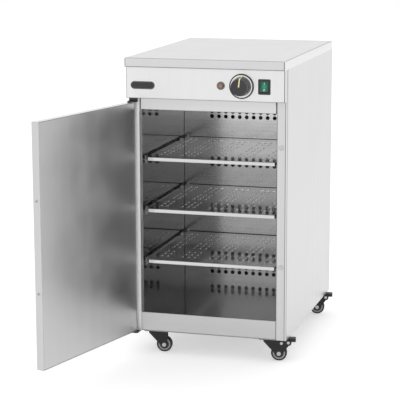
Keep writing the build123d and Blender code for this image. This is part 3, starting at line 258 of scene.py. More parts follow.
def make_worn_edges():
    """1 along a piece's outer edges, broken up as real wear is, and 0 on its faces."""
    tree, given, result = effect_group("worn_edges", {"Width": 0.0008, "Patch Count": 160.0}, ("Wear",))
    rounded = tree.nodes.new("ShaderNodeBevel")
    rounded.samples = 4
    tree.links.new(given.outputs["Width"], rounded.inputs["Radius"])
    flat = tree.nodes.new("ShaderNodeNewGeometry")
    match = tree.nodes.new("ShaderNodeVectorMath")
    match.operation = "DOT_PRODUCT"
    tree.links.new(rounded.outputs["Normal"], match.inputs[0])
    tree.links.new(flat.outputs["Normal"], match.inputs[1])
    edge = spread(tree, match.outputs["Value"], 0.97, 0.75)
    patches = noise_on(tree, place_on_piece(tree), given.outputs["Patch Count"], detail=4.0)
    kept = spread(tree, patches, 0.35, 0.6)
    tree.links.new(calculate(tree, "MULTIPLY", edge, kept), result.inputs["Wear"])
    return tree


def make_folded_edges():
    """Fold is 1 on the rounded folds of a sheet and 0 on its flats; Side Face is 1 on faces that look along
    X. Both are masks for painted shade and light on brushed sheets. Turn squares up a sheet that stands at
    an angle."""
    tree, given, result = effect_group("folded_edges", {"Turn": 0.0}, ("Fold", "Side Face"))
    squared = tree.nodes.new("ShaderNodeVectorRotate")
    squared.rotation_type = "Z_AXIS"
    tree.links.new(tree.nodes.new("ShaderNodeTexCoord").outputs["Normal"], squared.inputs["Vector"])
    tree.links.new(given.outputs["Turn"], squared.inputs["Angle"])
    parts = components(tree, squared.outputs["Vector"])
    x, y, z = (calculate(tree, "ABSOLUTE", parts[axis]) for axis in "XYZ")
    largest = calculate(tree, "MAXIMUM", calculate(tree, "MAXIMUM", x, y), z)
    tree.links.new(spread(tree, largest, 0.995, 0.93), result.inputs["Fold"])
    tree.links.new(spread(tree, x, 0.5, 0.9), result.inputs["Side Face"])
    return tree


def make_moulded_grain():
    """The fine leathery grain of a moulded or powder-coated surface."""
    tree, given, result = effect_group("moulded_grain", {"Grain Count": 1400.0}, ("Grain", "Height"))
    where = place_on_piece(tree)
    grain = noise_on(tree, where, given.outputs["Grain Count"], detail=2.0)
    fewer = calculate(tree, "MULTIPLY", given.outputs["Grain Count"], 0.2)
    lumps = noise_on(tree, where, fewer, detail=1.0)
    tree.links.new(spread(tree, grain, 0.3, 0.7), result.inputs["Grain"])
    tree.links.new(calculate(tree, "ADD", grain, lumps), result.inputs["Height"])
    return tree


BRUSHED_GRAIN = make_brushed_grain()
HANDLING_MARKS = make_handling_marks()
WORN_EDGES = make_worn_edges()
FOLDED_EDGES = make_folded_edges()
MOULDED_GRAIN = make_moulded_grain()


# ------------------------------------------------------------------------------------- materials
def grey(tone):
    return (tone, tone, tone, 1)


def scaled(colour, share, added=0.0):
    """A red, green and blue times share, with alpha."""
    return tuple(min(1, c * share + added) for c in colour) + (1,)


def begin(name, metallic, roughness):
    """A new material, its tree and its Principled shader."""
    material = bpy.data.materials.new(name)
    material.use_nodes = True
    surface = material.node_tree.nodes["Principled BSDF"]
    surface.inputs["Metallic"].default_value = metallic
    surface.inputs["Roughness"].default_value = roughness
    return material, material.node_tree, surface


def apply_effect(tree, group, **values):
    """Places an effect group in a material; Count_X=9 sets its input "Count X"."""
    node = tree.nodes.new("ShaderNodeGroup")
    node.node_tree = group
    for label, value in values.items():
        node.inputs[label.replace("_", " ")].default_value = value
    return node.outputs


def between(tree, share, first, second):
    """The colour share of the way from first to second; all three are sockets or plain values."""
    mix = tree.nodes.new("ShaderNodeMix")
    mix.data_type = "RGBA"
    for socket, value in ((mix.inputs[0], share), (mix.inputs[6], first), (mix.inputs[7], second)):
        if isinstance(value, bpy.types.NodeSocket):
            tree.links.new(value, socket)
        else:
            socket.default_value = value
    return mix.outputs[2]


def shade(tree, share, colour, tone):
    """The colour, brought to a share of its tone where share is 1."""
    result = between(tree, share, colour, grey(tone))
    result.node.blend_type = "MULTIPLY"
    return result


def bump(tree, surface, height, depth):
    relief = tree.nodes.new("ShaderNodeBump")
    relief.inputs["Strength"].default_value = 1.0
    relief.inputs["Distance"].default_value = depth
    tree.links.new(height, relief.inputs["Height"])
    tree.links.new(relief.outputs["Normal"], surface.inputs["Normal"])


GRAIN_UPRIGHT = {"Count_X": 700, "Count_Y": 700, "Count_Z": 5}
GRAIN_ACROSS = {"Count_X": 5, "Count_Y": 700, "Count_Z": 700}
GRAIN_FRONT_TO_BACK = {"Count_X": 700, "Count_Y": 5, "Count_Z": 700}
COARSE_ACROSS = {"Count_X": 4, "Count_Y": 260, "Count_Z": 260}
COARSE_FRONT_TO_BACK = {"Count_X": 260, "Count_Y": 4, "Count_Z": 260}
# Painted shade: sheets darken towards the bottom between these heights.
SHADED_LOWER_PART = (0.60, 0.44)  # the heights over which a sheet goes to its lower tone, in metres


def brushed_sheet(name, tone, roughness, grain, streak=0.06, relief=0.00003, fold_shade=0.55, turn=0.0, side=1.0,
                  lower=1.0):
    """Brushed steel with streaks and wiped clouds, and with painted shade and light. Fold, side and lower
    are shares of its tone: painted shade along its folds, painted light or shade on its side faces, and
    painted shade on its lower part."""
    material, tree, surface = begin(name, 1.0, roughness)
    streaks = apply_effect(tree, BRUSHED_GRAIN, **grain)
    marks = apply_effect(tree, HANDLING_MARKS, Cloud_Count=5.0)
    folds = apply_effect(tree, FOLDED_EDGES, Turn=turn)
    dull, bright = grey(tone * (1 - streak)), grey(min(1, tone * (1 + streak)))
    fine = between(tree, streaks["Fine Streaks"], dull, bright)
    broad = between(tree, streaks["Broad Streaks"], dull, bright)
    brushed = between(tree, 0.5, fine, broad)
    # Painted shade: darker towards the bottom of the cabinet.
    height = components(tree, place_on_piece(tree))["Z"]
    brushed = shade(tree, spread(tree, height, *SHADED_LOWER_PART), brushed, lower)
    # Painted light or shade on the faces that look along X.
    brushed = shade(tree, folds["Side Face"], brushed, side)
    # Painted shade along the folds.
    tree.links.new(shade(tree, folds["Fold"], brushed, fold_shade), surface.inputs["Base Color"])
    clouded = spread(tree, marks["Clouds"], 0, 1, roughness * 0.88, roughness * 1.1)
    streaked = spread(tree, streaks["Fine Streaks"], 0, 1, -roughness * 0.08, roughness * 0.12)
    tree.links.new(calculate(tree, "ADD", clouded, streaked), surface.inputs["Roughness"])
    bump(tree, surface, streaks["Height"], relief)
    return material


def plated_metal(name, tone, roughness):
    """Small bright metal pieces: zinc-plated or chromed, with slight clouds and worn edges."""
    material, tree, surface = begin(name, 1.0, roughness)
    marks = apply_effect(tree, HANDLING_MARKS, Cloud_Count=60.0)
    wear = apply_effect(tree, WORN_EDGES, Width=0.0003, Patch_Count=500.0)
    clouded = between(tree, marks["Clouds"], grey(tone * 0.88), grey(tone))
    rubbed = between(tree, wear["Wear"], clouded, grey(min(1, tone * 1.2)))
    tree.links.new(rubbed, surface.inputs["Base Color"])
    gloss = spread(tree, marks["Smears"], 0, 1, roughness * 0.8, roughness * 1.3)
    tree.links.new(gloss, surface.inputs["Roughness"])
    bump(tree, surface, marks["Smears"], 0.00002)
    return material


def moulded(name, colour, roughness, grain_count=1400.0, relief=0.00004, coat=0.0):
    """Moulded plastic, rubber or paint: grain in tone, gloss and relief, with paler rubbed edges."""
    material, tree, surface = begin(name, 0.0, roughness)
    grain = apply_effect(tree, MOULDED_GRAIN, Grain_Count=grain_count)
    marks = apply_effect(tree, HANDLING_MARKS, Cloud_Count=40.0)
    wear = apply_effect(tree, WORN_EDGES, Width=0.0004, Patch_Count=300.0)
    speckled = between(tree, grain["Grain"], scaled(colour, 0.8), scaled(colour, 1.2))
    rubbed = between(tree, wear["Wear"], speckled, scaled(colour, 1.7, 0.02))
    tree.links.new(rubbed, surface.inputs["Base Color"])
    gloss = spread(tree, marks["Smears"], 0, 1, roughness * 0.85, roughness * 1.2)
    tree.links.new(gloss, surface.inputs["Roughness"])
    surface.inputs["Coat Weight"].default_value = coat
    bump(tree, surface, grain["Height"], relief)
    return material


def mineral_wool(name, colour):
    """Pressed insulation fibres."""
    material, tree, surface = begin(name, 0.0, 0.95)
    long_fibres = apply_effect(tree, BRUSHED_GRAIN, Count_X=900, Count_Y=120, Count_Z=300)
    cross_fibres = apply_effect(tree, BRUSHED_GRAIN, Count_X=900, Count_Y=400, Count_Z=90)
    laid = between(tree, long_fibres["Fine Streaks"], scaled(colour, 0.65), scaled(colour, 1.35))
    crossed = between(tree, cross_fibres["Broad Streaks"], laid, scaled(colour, 1))
    tree.links.new(crossed, surface.inputs["Base Color"])
    bump(tree, surface, calculate(tree, "ADD", long_fibres["Height"], cross_fibres["Height"]), 0.0006)
    return material


def from_middle(tree, name, axis, near, far):
    """1 within near of a node's middle along an axis, falling to 0 at far."""
    low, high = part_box(name)
    centre = getattr((low + high) / 2, axis.lower())
    offset = calculate(tree, "SUBTRACT", components(tree, place_on_piece(tree))[axis], centre)
    return spread(tree, calculate(tree, "ABSOLUTE", offset), near, far, 1.0, 0.0)


def light_up(material, colour, strength):
    """Makes a material glow in a colour, which is a socket of its tree."""
    surface = material.node_tree.nodes["Principled BSDF"]
    material.node_tree.links.new(colour, surface.inputs["Emission Color"])
    surface.inputs["Emission Strength"].default_value = strength


def lit_green(name):
    """The rocker's green window, lit from behind, brightest in its middle."""
    material = moulded(name, (0.0, 0.075, 0.045), 0.2, relief=0.00001, coat=0.1)
    tree = material.node_tree
    marks = apply_effect(tree, HANDLING_MARKS, Cloud_Count=110.0)
    across = from_middle(tree, "switch_rocker", "X", 0.001, 0.008)
    along = from_middle(tree, "switch_rocker", "Z", 0.002, 0.012)
    glow = calculate(tree, "MULTIPLY", across, along)
    patchy = calculate(tree, "MULTIPLY", glow, spread(tree, marks["Clouds"], 0, 1, 0.6, 1.0))
    light_up(material, between(tree, patchy, (0.0, 0.05, 0.03, 1), (0.03, 0.75, 0.40, 1)), 0.42)
    return material


def lamp_glass_painted_glow(name):
    """The signal lamp's tinted glass, unlit, with a painted glow: pale brown in its middle, with painted
    shade at its rim.
    """
    material = moulded(name, (0.12, 0.06, 0.045), 0.12, grain_count=500.0, relief=0.00006, coat=0.3)
    tree = material.node_tree
    marks = apply_effect(tree, HANDLING_MARKS, Cloud_Count=260.0)
    across = from_middle(tree, "lamp_lens", "X", 0.001, 0.009)
    along = from_middle(tree, "lamp_lens", "Z", 0.001, 0.009)
    inner = calculate(tree, "MULTIPLY", across, along)
    cloudy = calculate(tree, "MULTIPLY", inner, spread(tree, marks["Clouds"], 0, 1, 0.7, 1.0))
    # Painted shade: the glass darkens where it turns away from view, towards its rim.
    rim_facing_shade = tree.nodes.new("ShaderNodeLayerWeight")
    rim_facing_shade.inputs["Blend"].default_value = 0.35
    # Painted light: the unlit glass is made to glow, pale brown in its middle and dark near its rim.
    glow = between(tree, cloudy, (0.06, 0.022, 0.015, 1), (0.70, 0.47, 0.38, 1))
    light_up(material, between(tree, rim_facing_shade.outputs["Facing"], glow, (0.02, 0.01, 0.008, 1)), 0.36)
    return material


steel_upright = brushed_sheet("steel_grain_upright", 0.82, 0.36, GRAIN_UPRIGHT, streak=0.025)
# Painted light: the lid's end faces, which look along X, are brightened to 1.32 of its tone.
steel_lid = brushed_sheet("steel_lid", 0.71, 0.38, GRAIN_FRONT_TO_BACK, streak=0.03, side=1.32, fold_shade=0.5)
steel_fascia = brushed_sheet("steel_fascia", 0.84, 0.36, GRAIN_UPRIGHT, streak=0.03, fold_shade=0.5)
# Painted light: a brighter copy of the stile steel for the left stile, which stands in the open door's
# shade.
steel_stile_left_painted_light = brushed_sheet("steel_stile_left_painted_light", 0.93, 0.50, GRAIN_UPRIGHT, streak=0.04)
steel_stile = brushed_sheet("steel_stile", 0.71, 0.40, GRAIN_UPRIGHT, streak=0.04)
steel_rail = brushed_sheet("steel_rail", 0.64, 0.38, GRAIN_ACROSS, streak=0.04)
steel_header = brushed_sheet("steel_header", 0.74, 0.38, GRAIN_ACROSS, streak=0.04)
steel_back = brushed_sheet("steel_back", 0.66, 0.42, GRAIN_UPRIGHT, streak=0.04)
steel_base = brushed_sheet("steel_base", 0.55, 0.45, GRAIN_ACROSS)
# Painted shade: on both door skins, the edge faces that look along the door's width are darkened to 0.84 of
# the tone.
steel_door_skin = brushed_sheet(
    "steel_door_skin", 0.80, 0.36, GRAIN_UPRIGHT, streak=0.025, turn=DOOR_OPEN, side=0.84)
steel_door_inner = brushed_sheet(
    "steel_door_inner", 0.76, 0.40, GRAIN_UPRIGHT, streak=0.03, turn=DOOR_OPEN, side=0.84)
# Painted shade: the side liners' near-black tone stands in for the dark reflections inside the cabinet.
steel_liner_side_painted_shade = brushed_sheet("steel_liner_side_painted_shade", 0.12, 0.05, COARSE_FRONT_TO_BACK, streak=0.35)
# Painted shade: the back liner and ceiling darken to 0.48 of their tone towards the bottom.
steel_liner_back = brushed_sheet("steel_liner_back", 0.78, 0.16, COARSE_ACROSS, streak=0.2, lower=0.48)
steel_shelf = brushed_sheet("steel_shelf", 0.70, 0.07, COARSE_ACROSS, relief=0.000006)
steel_deck = brushed_sheet("steel_deck", 0.50, 0.12, COARSE_ACROSS, relief=0.00001)
polished_bar = brushed_sheet("polished_bar", 0.78, 0.16, GRAIN_ACROSS)
zinc_plate = plated_metal("zinc_plate", 0.62, 0.28)
chrome = plated_metal("chrome", 0.82, 0.10)
dark_chrome = plated_metal("dark_chrome", 0.20, 0.18)
# Painted shade: the hinge brackets are plated steel, made this dark for the shade they stand in.
hinge_steel_painted_shade = plated_metal("hinge_steel_painted_shade", 0.08, 0.38)
wool = mineral_wool("mineral_wool", (0.46, 0.38, 0.22))
badge_black = moulded("badge_black", (0.026, 0.026, 0.029), 0.3)
knob_black = moulded("knob_black", (0.022, 0.022, 0.022), 0.20, coat=0.3)
# Painted shade: the near-black of strips laid in gaps, along the stiles' edges and in screw recesses.
painted_shade_black = moulded("painted_shade_black", (0.035, 0.035, 0.035), 0.7)
frame_black = moulded("switch_black", (0.022, 0.022, 0.024), 0.36)
pointer_cream = moulded("pointer_cream", (0.86, 0.78, 0.42), 0.4)
# Painted shade: the grey of the shade lines at seams, corners and edges.
painted_shade_grey = moulded("painted_shade_grey", (0.10, 0.10, 0.10), 0.6)
mark_white = moulded("mark_white", (0.85, 0.87, 0.85), 0.4)
fork_paint = moulded("fork_paint", (0.007, 0.007, 0.008), 0.48, grain_count=700.0, relief=0.00012)
pedal_paint = moulded("pedal_paint", (0.011, 0.011, 0.012), 0.42, grain_count=700.0, relief=0.0001)
flange_grey = moulded("rim_flange_grey", (0.34, 0.34, 0.35), 0.3, grain_count=900.0)
core_grey = moulded("wheel_core_grey", (0.36, 0.36, 0.37), 0.45, grain_count=900.0)
cover_dark = moulded("hub_cover_dark", (0.035, 0.035, 0.037), 0.4, grain_count=900.0)
tyre_rubber = moulded("tyre_rubber", (0.009, 0.009, 0.009), 0.55, grain_count=600.0, relief=0.00012)
rocker_green = lit_green("rocker_green")
lens_glass_painted_glow = lamp_glass_painted_glow("lens_glass_painted_glow")


def at_each(stem, corners=CORNERS):
    """The names of the nodes that repeat at the castors."""
    return tuple(stem + corner for corner in corners)


FINISHES = {
    steel_lid: ("lid",),
    steel_fascia: ("control_fascia",),
    steel_upright: ("side_panel_left", "side_panel_right"),
    steel_door_skin: ("door_outer_skin",),
    steel_stile_left_painted_light: ("stile_left",),
    steel_stile: ("stile_right",),
    steel_header: ("header_rail",),
    steel_rail: ("bottom_rail",),
    steel_back: ("back_panel",),
    steel_base: ("base_pan", "element_brackets"),
    steel_door_inner: ("door_inner_panel",),
    steel_liner_side_painted_shade: ("liner_left", "liner_right"),
    steel_liner_back: ("liner_back", "liner_ceiling"),
    steel_shelf: ("shelf_top", "shelf_middle", "shelf_bottom"),
    steel_deck: ("floor_deck",),
    wool: ("side_insulation", "door_core"),
    badge_black: ("badge_plate",),
    dark_chrome: ("lamp_bezel",),
    lens_glass_painted_glow: ("lamp_lens",),
    knob_black: ("dial_knob",),
    frame_black: ("dial_bezel", "switch_frame", "thermostat", "cable_gland", "hinge_bushes"),
    rocker_green: ("switch_rocker",),
    polished_bar: ("door_handle", "heating_element"),
    zinc_plate: (
        "door_catches", "shelf_clips", "panel_fasteners", "castor_stems", "door_edge_screws",
        "thermostat_bulb", *at_each("castor_bolts_"),
    ),
    hinge_steel_painted_shade: ("hinge_brackets",),
    fork_paint: at_each("castor_fork_"),
    core_grey: at_each("castor_wheel_"),
    tyre_rubber: at_each("castor_tyre_"),
    pedal_paint: at_each("brake_pedal_", BRAKED),
}
for finish, names in FINISHES.items():
    for name in names:
        slots = cabinet_node[name].data.materials
        slots.clear()
        slots.append(finish)


# ----------------------------------------------------------------------------------- mesh helpers
SMOOTH_BELOW = math.radians(35)


def piece(name, net, finish, body):
    """Turns a bmesh, drawn where it stands at rest, into an object that rides on a body."""
    bmesh.ops.recalc_face_normals(net, faces=net.faces)
    mesh = bpy.data.meshes.new(name)
    net.to_mesh(mesh)
    net.free()
    mesh.shade_smooth()
    mesh.set_sharp_from_angle(angle=SMOOTH_BELOW)
    mesh.materials.append(finish)
    made = bpy.data.objects.new(name, mesh)
    bpy.context.scene.collection.objects.link(made)
    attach(made, body)


def add_turned(net, profile, centre, steps=48, closed=False):
    """Adds a turned form about its frame's Z axis; profile is (radius, height) pairs in mm."""
    rings = []
    for radius, height in profile:
        if radius == 0:
            rings.append([net.verts.new(centre @ Vector((0, 0, height * MM)))] * steps)
            continue
        ring = []
        for step in range(steps):
            turn = 2 * math.pi * step / steps
            spot = Vector((radius * math.cos(turn), radius * math.sin(turn), height)) * MM
            ring.append(net.verts.new(centre @ spot))
        rings.append(ring)
    pairs = list(zip(rings, rings[1:]))
    if closed:
        pairs.append((rings[-1], rings[0]))
    for low, high in pairs:
        for step in range(steps):
            after = (step + 1) % steps
            corners = (low[step], low[after], high[after], high[step])
            net.faces.new(list(dict.fromkeys(corners)))


def add_slab(net, outline, low, high, bevel, centre):
    """Adds a flat plate with a rounded top edge; outline is (x, y) in mm, low and high along Z."""
    count = len(outline)
    middle = Vector((sum(p[0] for p in outline) / count, sum(p[1] for p in outline) / count))
    reach = max((Vector(p) - middle).length for p in outline)
    levels = ((low, 0.0), (high - bevel, 0.0), (high - bevel * 0.3, bevel * 0.3), (high, bevel))
    rings = []
    for height, inset in levels:
        shrink = 1 - inset / reach
        ring = []
        for x, y in outline:
            spot = middle + (Vector((x, y)) - middle) * shrink
            ring.append(net.verts.new(centre @ (Vector((spot.x, spot.y, height)) * MM)))
        rings.append(ring)
    for lower, upper in zip(rings, rings[1:]):
        for i in range(count):
            after = (i + 1) % count
            net.faces.new((lower[i], lower[after], upper[after], upper[i]))
    net.faces.new(rings[0][::-1])
    net.faces.new(rings[-1])


def add_loops(net, loops, centre, ends=False):
    """Joins outlines of equal length, (x, y, height) in mm, into one skin that closes on itself or,
    with ends, is capped at its first and last outline."""
    rings = [[net.verts.new(centre @ (Vector(spot) * MM)) for spot in loop] for loop in loops]
    pairs = list(zip(rings, rings[1:]))
    if ends:
        net.faces.new(rings[0])
        net.faces.new(rings[-1][::-1])
    else:
        pairs.append((rings[-1], rings[0]))
    for first, second in pairs:
        for i in range(len(first)):
            after = (i + 1) % len(first)
            net.faces.new((first[i], first[after], second[after], second[i]))


def capsule(length, width, steps=10):
    """A long oval's outline along X, in mm."""
    half, radius = length / 2 - width / 2, width / 2
    outline = []
    for side, start in ((1, -90), (-1, 90)):
        for step in range(steps + 1):
            turn = math.radians(start + 180 * step / steps)
            outline.append((side * half + radius * math.cos(turn), radius * math.sin(turn)))
    return outline


def standing(length, width):
    """The same long oval along Y."""
    return [(y, -x) for x, y in capsule(length, width, steps=6)]


def add_strip(net, outline, place, rise=0.06, bevel=0.04):
    """A thin strip on a face, sunk into it and proud of it by rise, in mm."""
    add_slab(net, outline, -0.2, rise, bevel, place)


def add_cross(net, length, place):
    """A screw's cross recess, drawn as a cross of painted shade proud of its head."""
    for turn in (45, 135):
        slot = place @ Matrix.Rotation(math.radians(turn), 4, "Z")
        add_strip(net, capsule(length, length * 0.22, steps=4), slot, rise=0.1, bevel=0.06)


def facing_front(x, y, z):
    """A frame on a front face: X to the right, Y up, Z out of the face towards the viewer."""
    axes = Matrix(((1, 0, 0), (0, 0, -1), (0, 1, 0))).to_4x4()
    return Matrix.Translation(Vector((x, y, z))) @ axes


def facing_back(x, y, z):
    """The same on a back face: X to the left seen from the front, Y up, Z out."""
    return facing_front(x, y, z) @ Matrix.Rotation(math.pi, 4, "Y")


def middle_of(name):
    low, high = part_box(name)
    return (low + high) / 2


def parts_of(name, frame_of=Matrix.Identity(4)):
    """The middle, low corner and high corner of each of a node's separate solids, in a frame."""
    node = cabinet_node[name]
    net = bmesh.new()
    net.from_mesh(node.data)
    net.transform(frame_of.inverted() @ node.matrix_world)
    bmesh.ops.remove_doubles(net, verts=net.verts, dist=0.00002)
    boxes, seen = [], set()
    for start in net.verts:
        if start in seen:
            continue
        seen.add(start)
        waiting, spots = [start], []
        while waiting:
            vert = waiting.pop()
            spots.append(vert.co.copy())
            for edge in vert.link_edges:
                other = edge.other_vert(vert)
                if other not in seen:
                    seen.add(other)
                    waiting.append(other)
        low, high = Vector(map(min, *spots)), Vector(map(max, *spots))
        boxes.append(((low + high) / 2, low, high))
    net.free()
    return boxes


# ------------------------------------------------------------------------------- control strip
# The bright ring round the temperature knob, and the cream strip over its pointer.
DIAL_RING = [(25.0, -0.2), (25.2, 0.3), (25.8, 0.45), (30.0, 0.45), (30.4, 0.3), (30.6, -0.2)]
# Along the pointer: distance from the knob's axis and height above its back in mm, lean in degrees.
POINTER_PATH = ((0.8, 30, 0), (21.9, 30, 10), (24, 28, 60), (27.1, 3.1, 83))
INLAY_SECTION = ((-1.7, -0.3), (-1.7, 0.08), (-1.4, 0.2), (1.4, 0.2), (1.7, 0.08), (1.7, -0.3))

knob_middle = middle_of("dial_bezel")
bezel_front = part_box("dial_bezel")[0].y
net = bmesh.new()
add_turned(net, DIAL_RING, facing_front(knob_middle.x, bezel_front, knob_middle.z), steps=96, closed=True)
piece("dial_ring", net, chrome, "cabinet")

knob_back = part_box("dial_knob")[0].y + KNOB_DEPTH
pointer_frame = facing_front(knob_middle.x, knob_back, knob_middle.z) @ Matrix.Rotation(POINTER_REST, 4, "Z")
net = bmesh.new()
loops = []
for radius, height, lean in POINTER_PATH:
    sine, cosine = math.sin(math.radians(lean)), math.cos(math.radians(lean))
    loops.append([(across, radius + lift * sine, height + lift * cosine) for across, lift in INLAY_SECTION])
add_loops(net, loops, pointer_frame, ends=True)
piece("pointer_inlay", net, pointer_cream, "thermostat_knob")

# The raised rim of the blank badge, from its inset and height in mm.
BADGE_RIM = ((1.0, -0.1), (1.0, 0.3), (1.3, 0.45), (2.0, 0.45), (2.3, 0.3), (2.3, -0.1))
badge_low, badge_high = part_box("badge_plate")
badge_size = (badge_high - badge_low) / MM
badge_middle = middle_of("badge_plate")
net = bmesh.new()
loops = []
for inset, height in BADGE_RIM:
    loops.append([(x, y, height) for x, y in capsule(badge_size.x - 2 * inset, badge_size.z - 2 * inset)])
add_loops(net, loops, facing_front(badge_middle.x, badge_low.y, badge_middle.z))
piece("badge_rim", net, dark_chrome, "cabinet")

# The rocker's two generic marks: a bar on its upper half, a ring on its lower.
MARK_RISE, MARK_LIFT = 0.009, 0.00583
HALF_SLOPE = math.radians(7.2)
MARK_RING = [(1.7, -0.1), (1.8, 0.12), (2.6, 0.12), (2.7, -0.1)]
rocker_axis = facing_front(middle_of("switch_rocker").x, ROCKER_PIVOT_Y, ROCKER_PIVOT_Z)
rocker_frame = rocker_axis @ Matrix.Rotation(ROCKER_REST, 4, "X")
upper, lower = (
    rocker_frame
    @ Matrix.Translation((0, half * MARK_RISE, MARK_LIFT))
    @ Matrix.Rotation(half * HALF_SLOPE, 4, "X")
    for half in (1, -1)
)
net = bmesh.new()
add_slab(net, standing(5.4, 1.1), -0.1, 0.14, 0.08, upper)
add_turned(net, MARK_RING, lower, closed=True)
piece("rocker_marks", net, mark_white, "rocker")


# --------------------------------------------------------------------------- fasteners and handle
# Cross recesses in the screws of the door's free edge and of the back panel, their lengths in mm; the
# recesses are painted shade, dark crosses laid on the heads.
DOOR_CROSS, BACK_CROSS = 4.6, 4.4
net = bmesh.new()
for middle, _, high in parts_of("door_edge_screws", DOOR):
    head = DOOR @ Matrix.Translation((high.x, middle.y, middle.z)) @ Matrix.Rotation(math.pi / 2, 4, "Y")
    add_cross(net, DOOR_CROSS, head)
piece("door_screw_recess_shade", net, painted_shade_black, "door")
net = bmesh.new()
for middle, _, high in parts_of("panel_fasteners"):
    if middle.y > 0:
        add_cross(net, BACK_CROSS, facing_back(middle.x, high.y, middle.z))
piece("back_screw_recess_shade", net, painted_shade_black, "cabinet")

# Collars at the feet of the door handle.
COLLAR = [(6.05, -0.3), (10, -0.3), (10, 0.8), (9.4, 1.6), (7.6, 2.2), (6.8, 3.4), (6.05, 3.8)]
net = bmesh.new()
for foot_z in HANDLE_FEET_Z:
    add_turned(net, COLLAR, DOOR @ facing_front(HANDLE_X, DOOR_OUTER_Y, foot_z), closed=True)
piece("handle_collars", net, chrome, "door")


# ------------------------------------------------------------------------------- painted shade at seams and gaps
lid_low, lid_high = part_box("lid")
fascia_low, fascia_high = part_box("control_fascia")
header_low, header_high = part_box("header_rail")
stile_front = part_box("stile_left")[0].y

# Lengths and widths in mm, insets from the ends of a piece in metres.
LINER_CORNER, LID_CORNER = standing(597, 0.9), standing(22, 1.3)
LID_CORNER_INSET, LID_CORNER_DROP, LID_SHADOW_RISE, LID_SHADOW_WIDTH = 0.002, 0.0135, 0.0009, 1.5
FASCIA_ENDS = ((fascia_low.x + 0.0006, 0.5), (fascia_high.x - 0.0012, 1.5))  # places and widths
HEADER_GAP, STILE_EDGE = standing(34, 2.2), standing(573, 1.1)
HEADER_GAP_INSET = 0.0012

# Painted shade, in grey lines: the corners behind the side liners, the corners of the lid, along the lower
# edge of the lid's front, and the fascia's ends, the right one wider.
net = bmesh.new()
for side in (-1, 1):
    corner = facing_front(side * LINER_CORNER_X, LINER_BACK_Y, LINER_MIDDLE_Z)
    add_strip(net, LINER_CORNER, corner, rise=0.4, bevel=0.2)
for x in (lid_low.x + LID_CORNER_INSET, lid_high.x - LID_CORNER_INSET):
    add_strip(net, LID_CORNER, facing_front(x, lid_low.y, lid_high.z - LID_CORNER_DROP))
lid_shadow_length = (lid_high.x - lid_low.x) / MM - 2 * LID_SHADOW_WIDTH
lid_shadow_line = facing_front(0, lid_low.y, lid_high.z - LID_APRON + LID_SHADOW_RISE)
add_strip(net, capsule(lid_shadow_length, LID_SHADOW_WIDTH, steps=4), lid_shadow_line, rise=0.08)
fascia_height = (lid_high.z - LID_APRON - fascia_low.z) / MM
for x, width in FASCIA_ENDS:
    end = facing_front(x, fascia_low.y, fascia_low.z + fascia_height * MM / 2)
    add_strip(net, standing(fascia_height, width), end)
piece("painted_shade_lines", net, painted_shade_grey, "cabinet")

# Painted shade, in dark strips: in the gaps at both ends of the header rail, and along the stiles' edges
# towards the doorway.
net = bmesh.new()
for x in (header_low.x + HEADER_GAP_INSET, header_high.x - HEADER_GAP_INSET):
    add_strip(net, HEADER_GAP, facing_front(x, header_low.y, HEADER_MIDDLE_Z), rise=0.1, bevel=0.06)
for side in (-1, 1):
    add_strip(net, STILE_EDGE, facing_front(side * STILE_EDGE_X, stile_front, STILE_MIDDLE_Z))
piece("painted_gap_shades", net, painted_shade_black, "cabinet")


# ----------------------------------------------------------------------- gland and shelf clips
# Grip ribs round the cable gland's nut.
GLAND_RIBS, GLAND_RIB, GLAND_RIB_HALF = 16, capsule(1.4, 1.2, steps=4), 3.0
GLAND_NUT_BACK, GLAND_RIB_RADIUS = 0.0075, 0.0088
gland_nut = facing_back(GLAND_X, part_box("cable_gland")[1].y - GLAND_NUT_BACK, GLAND_Z)
net = bmesh.new()
for step in range(GLAND_RIBS):
    around = Matrix.Rotation(2 * math.pi * step / GLAND_RIBS, 4, "Z")
    place = gland_nut @ around @ Matrix.Translation((GLAND_RIB_RADIUS, 0, 0))
    add_slab(net, GLAND_RIB, -GLAND_RIB_HALF, GLAND_RIB_HALF, 0.4, place)
piece("gland_ribs", net, frame_black, "cabinet")

# A domed screw in each shelf clip.
CLIP_SCREW = [(0, -0.2), (2.4, -0.2), (2.4, 0.5), (1.8, 1.0), (0, 1.1)]
CLIP_FLANGE, CLIP_SCREW_RISE = 0.0015, 0.005
net = bmesh.new()
for middle, low, high in parts_of("shelf_clips"):
    side = math.copysign(1, middle.x)
    wall = low.x if side < 0 else high.x
    seat = Matrix.Translation((wall - side * CLIP_FLANGE, middle.y, low.z + CLIP_SCREW_RISE))
    add_turned(net, CLIP_SCREW, seat @ Matrix.Rotation(-side * math.pi / 2, 4, "Y"), steps=20)
piece("clip_screws", net, zinc_plate, "cabinet")


# ------------------------------------------------------------------------------------- castors
# Radius and height along the axle, or along the swivel axis for the raceway, in mm.
HUB_COVER = [
    (8.1, 3.9), (8.1, 9.3), (9.0, 9.7), (12.2, 9.1), (13.3, 8.5), (13.3, 7.6), (10.3, 7.6), (10.3, 3.9),
]
RIM_FLANGE = [(13.0, 7.8), (13.2, 8.9), (13.8, 9.3), (16.8, 9.3), (17.4, 9.0), (17.5, 8.4)]
AXLE_WASHER = [(5.4, 12.9), (7.6, 12.9), (7.6, 13.3), (7.2, 13.6), (5.4, 13.6)]
PIVOT_CUP = [(4.3, 12.9), (8.8, 12.9), (8.8, 13.3), (8.0, 13.9), (4.3, 13.9)]
RACEWAY = [(16.9, -1.0), (17.7, -1.0), (18.3, -0.3), (18.1, 0.5), (16.9, 0.9)]
PEDAL_RIB, PEDAL_RIBS = standing(17.5, 1.6), (4.5, 8.0, 11.5, 15.0)  # in mm, past the brake's pivot


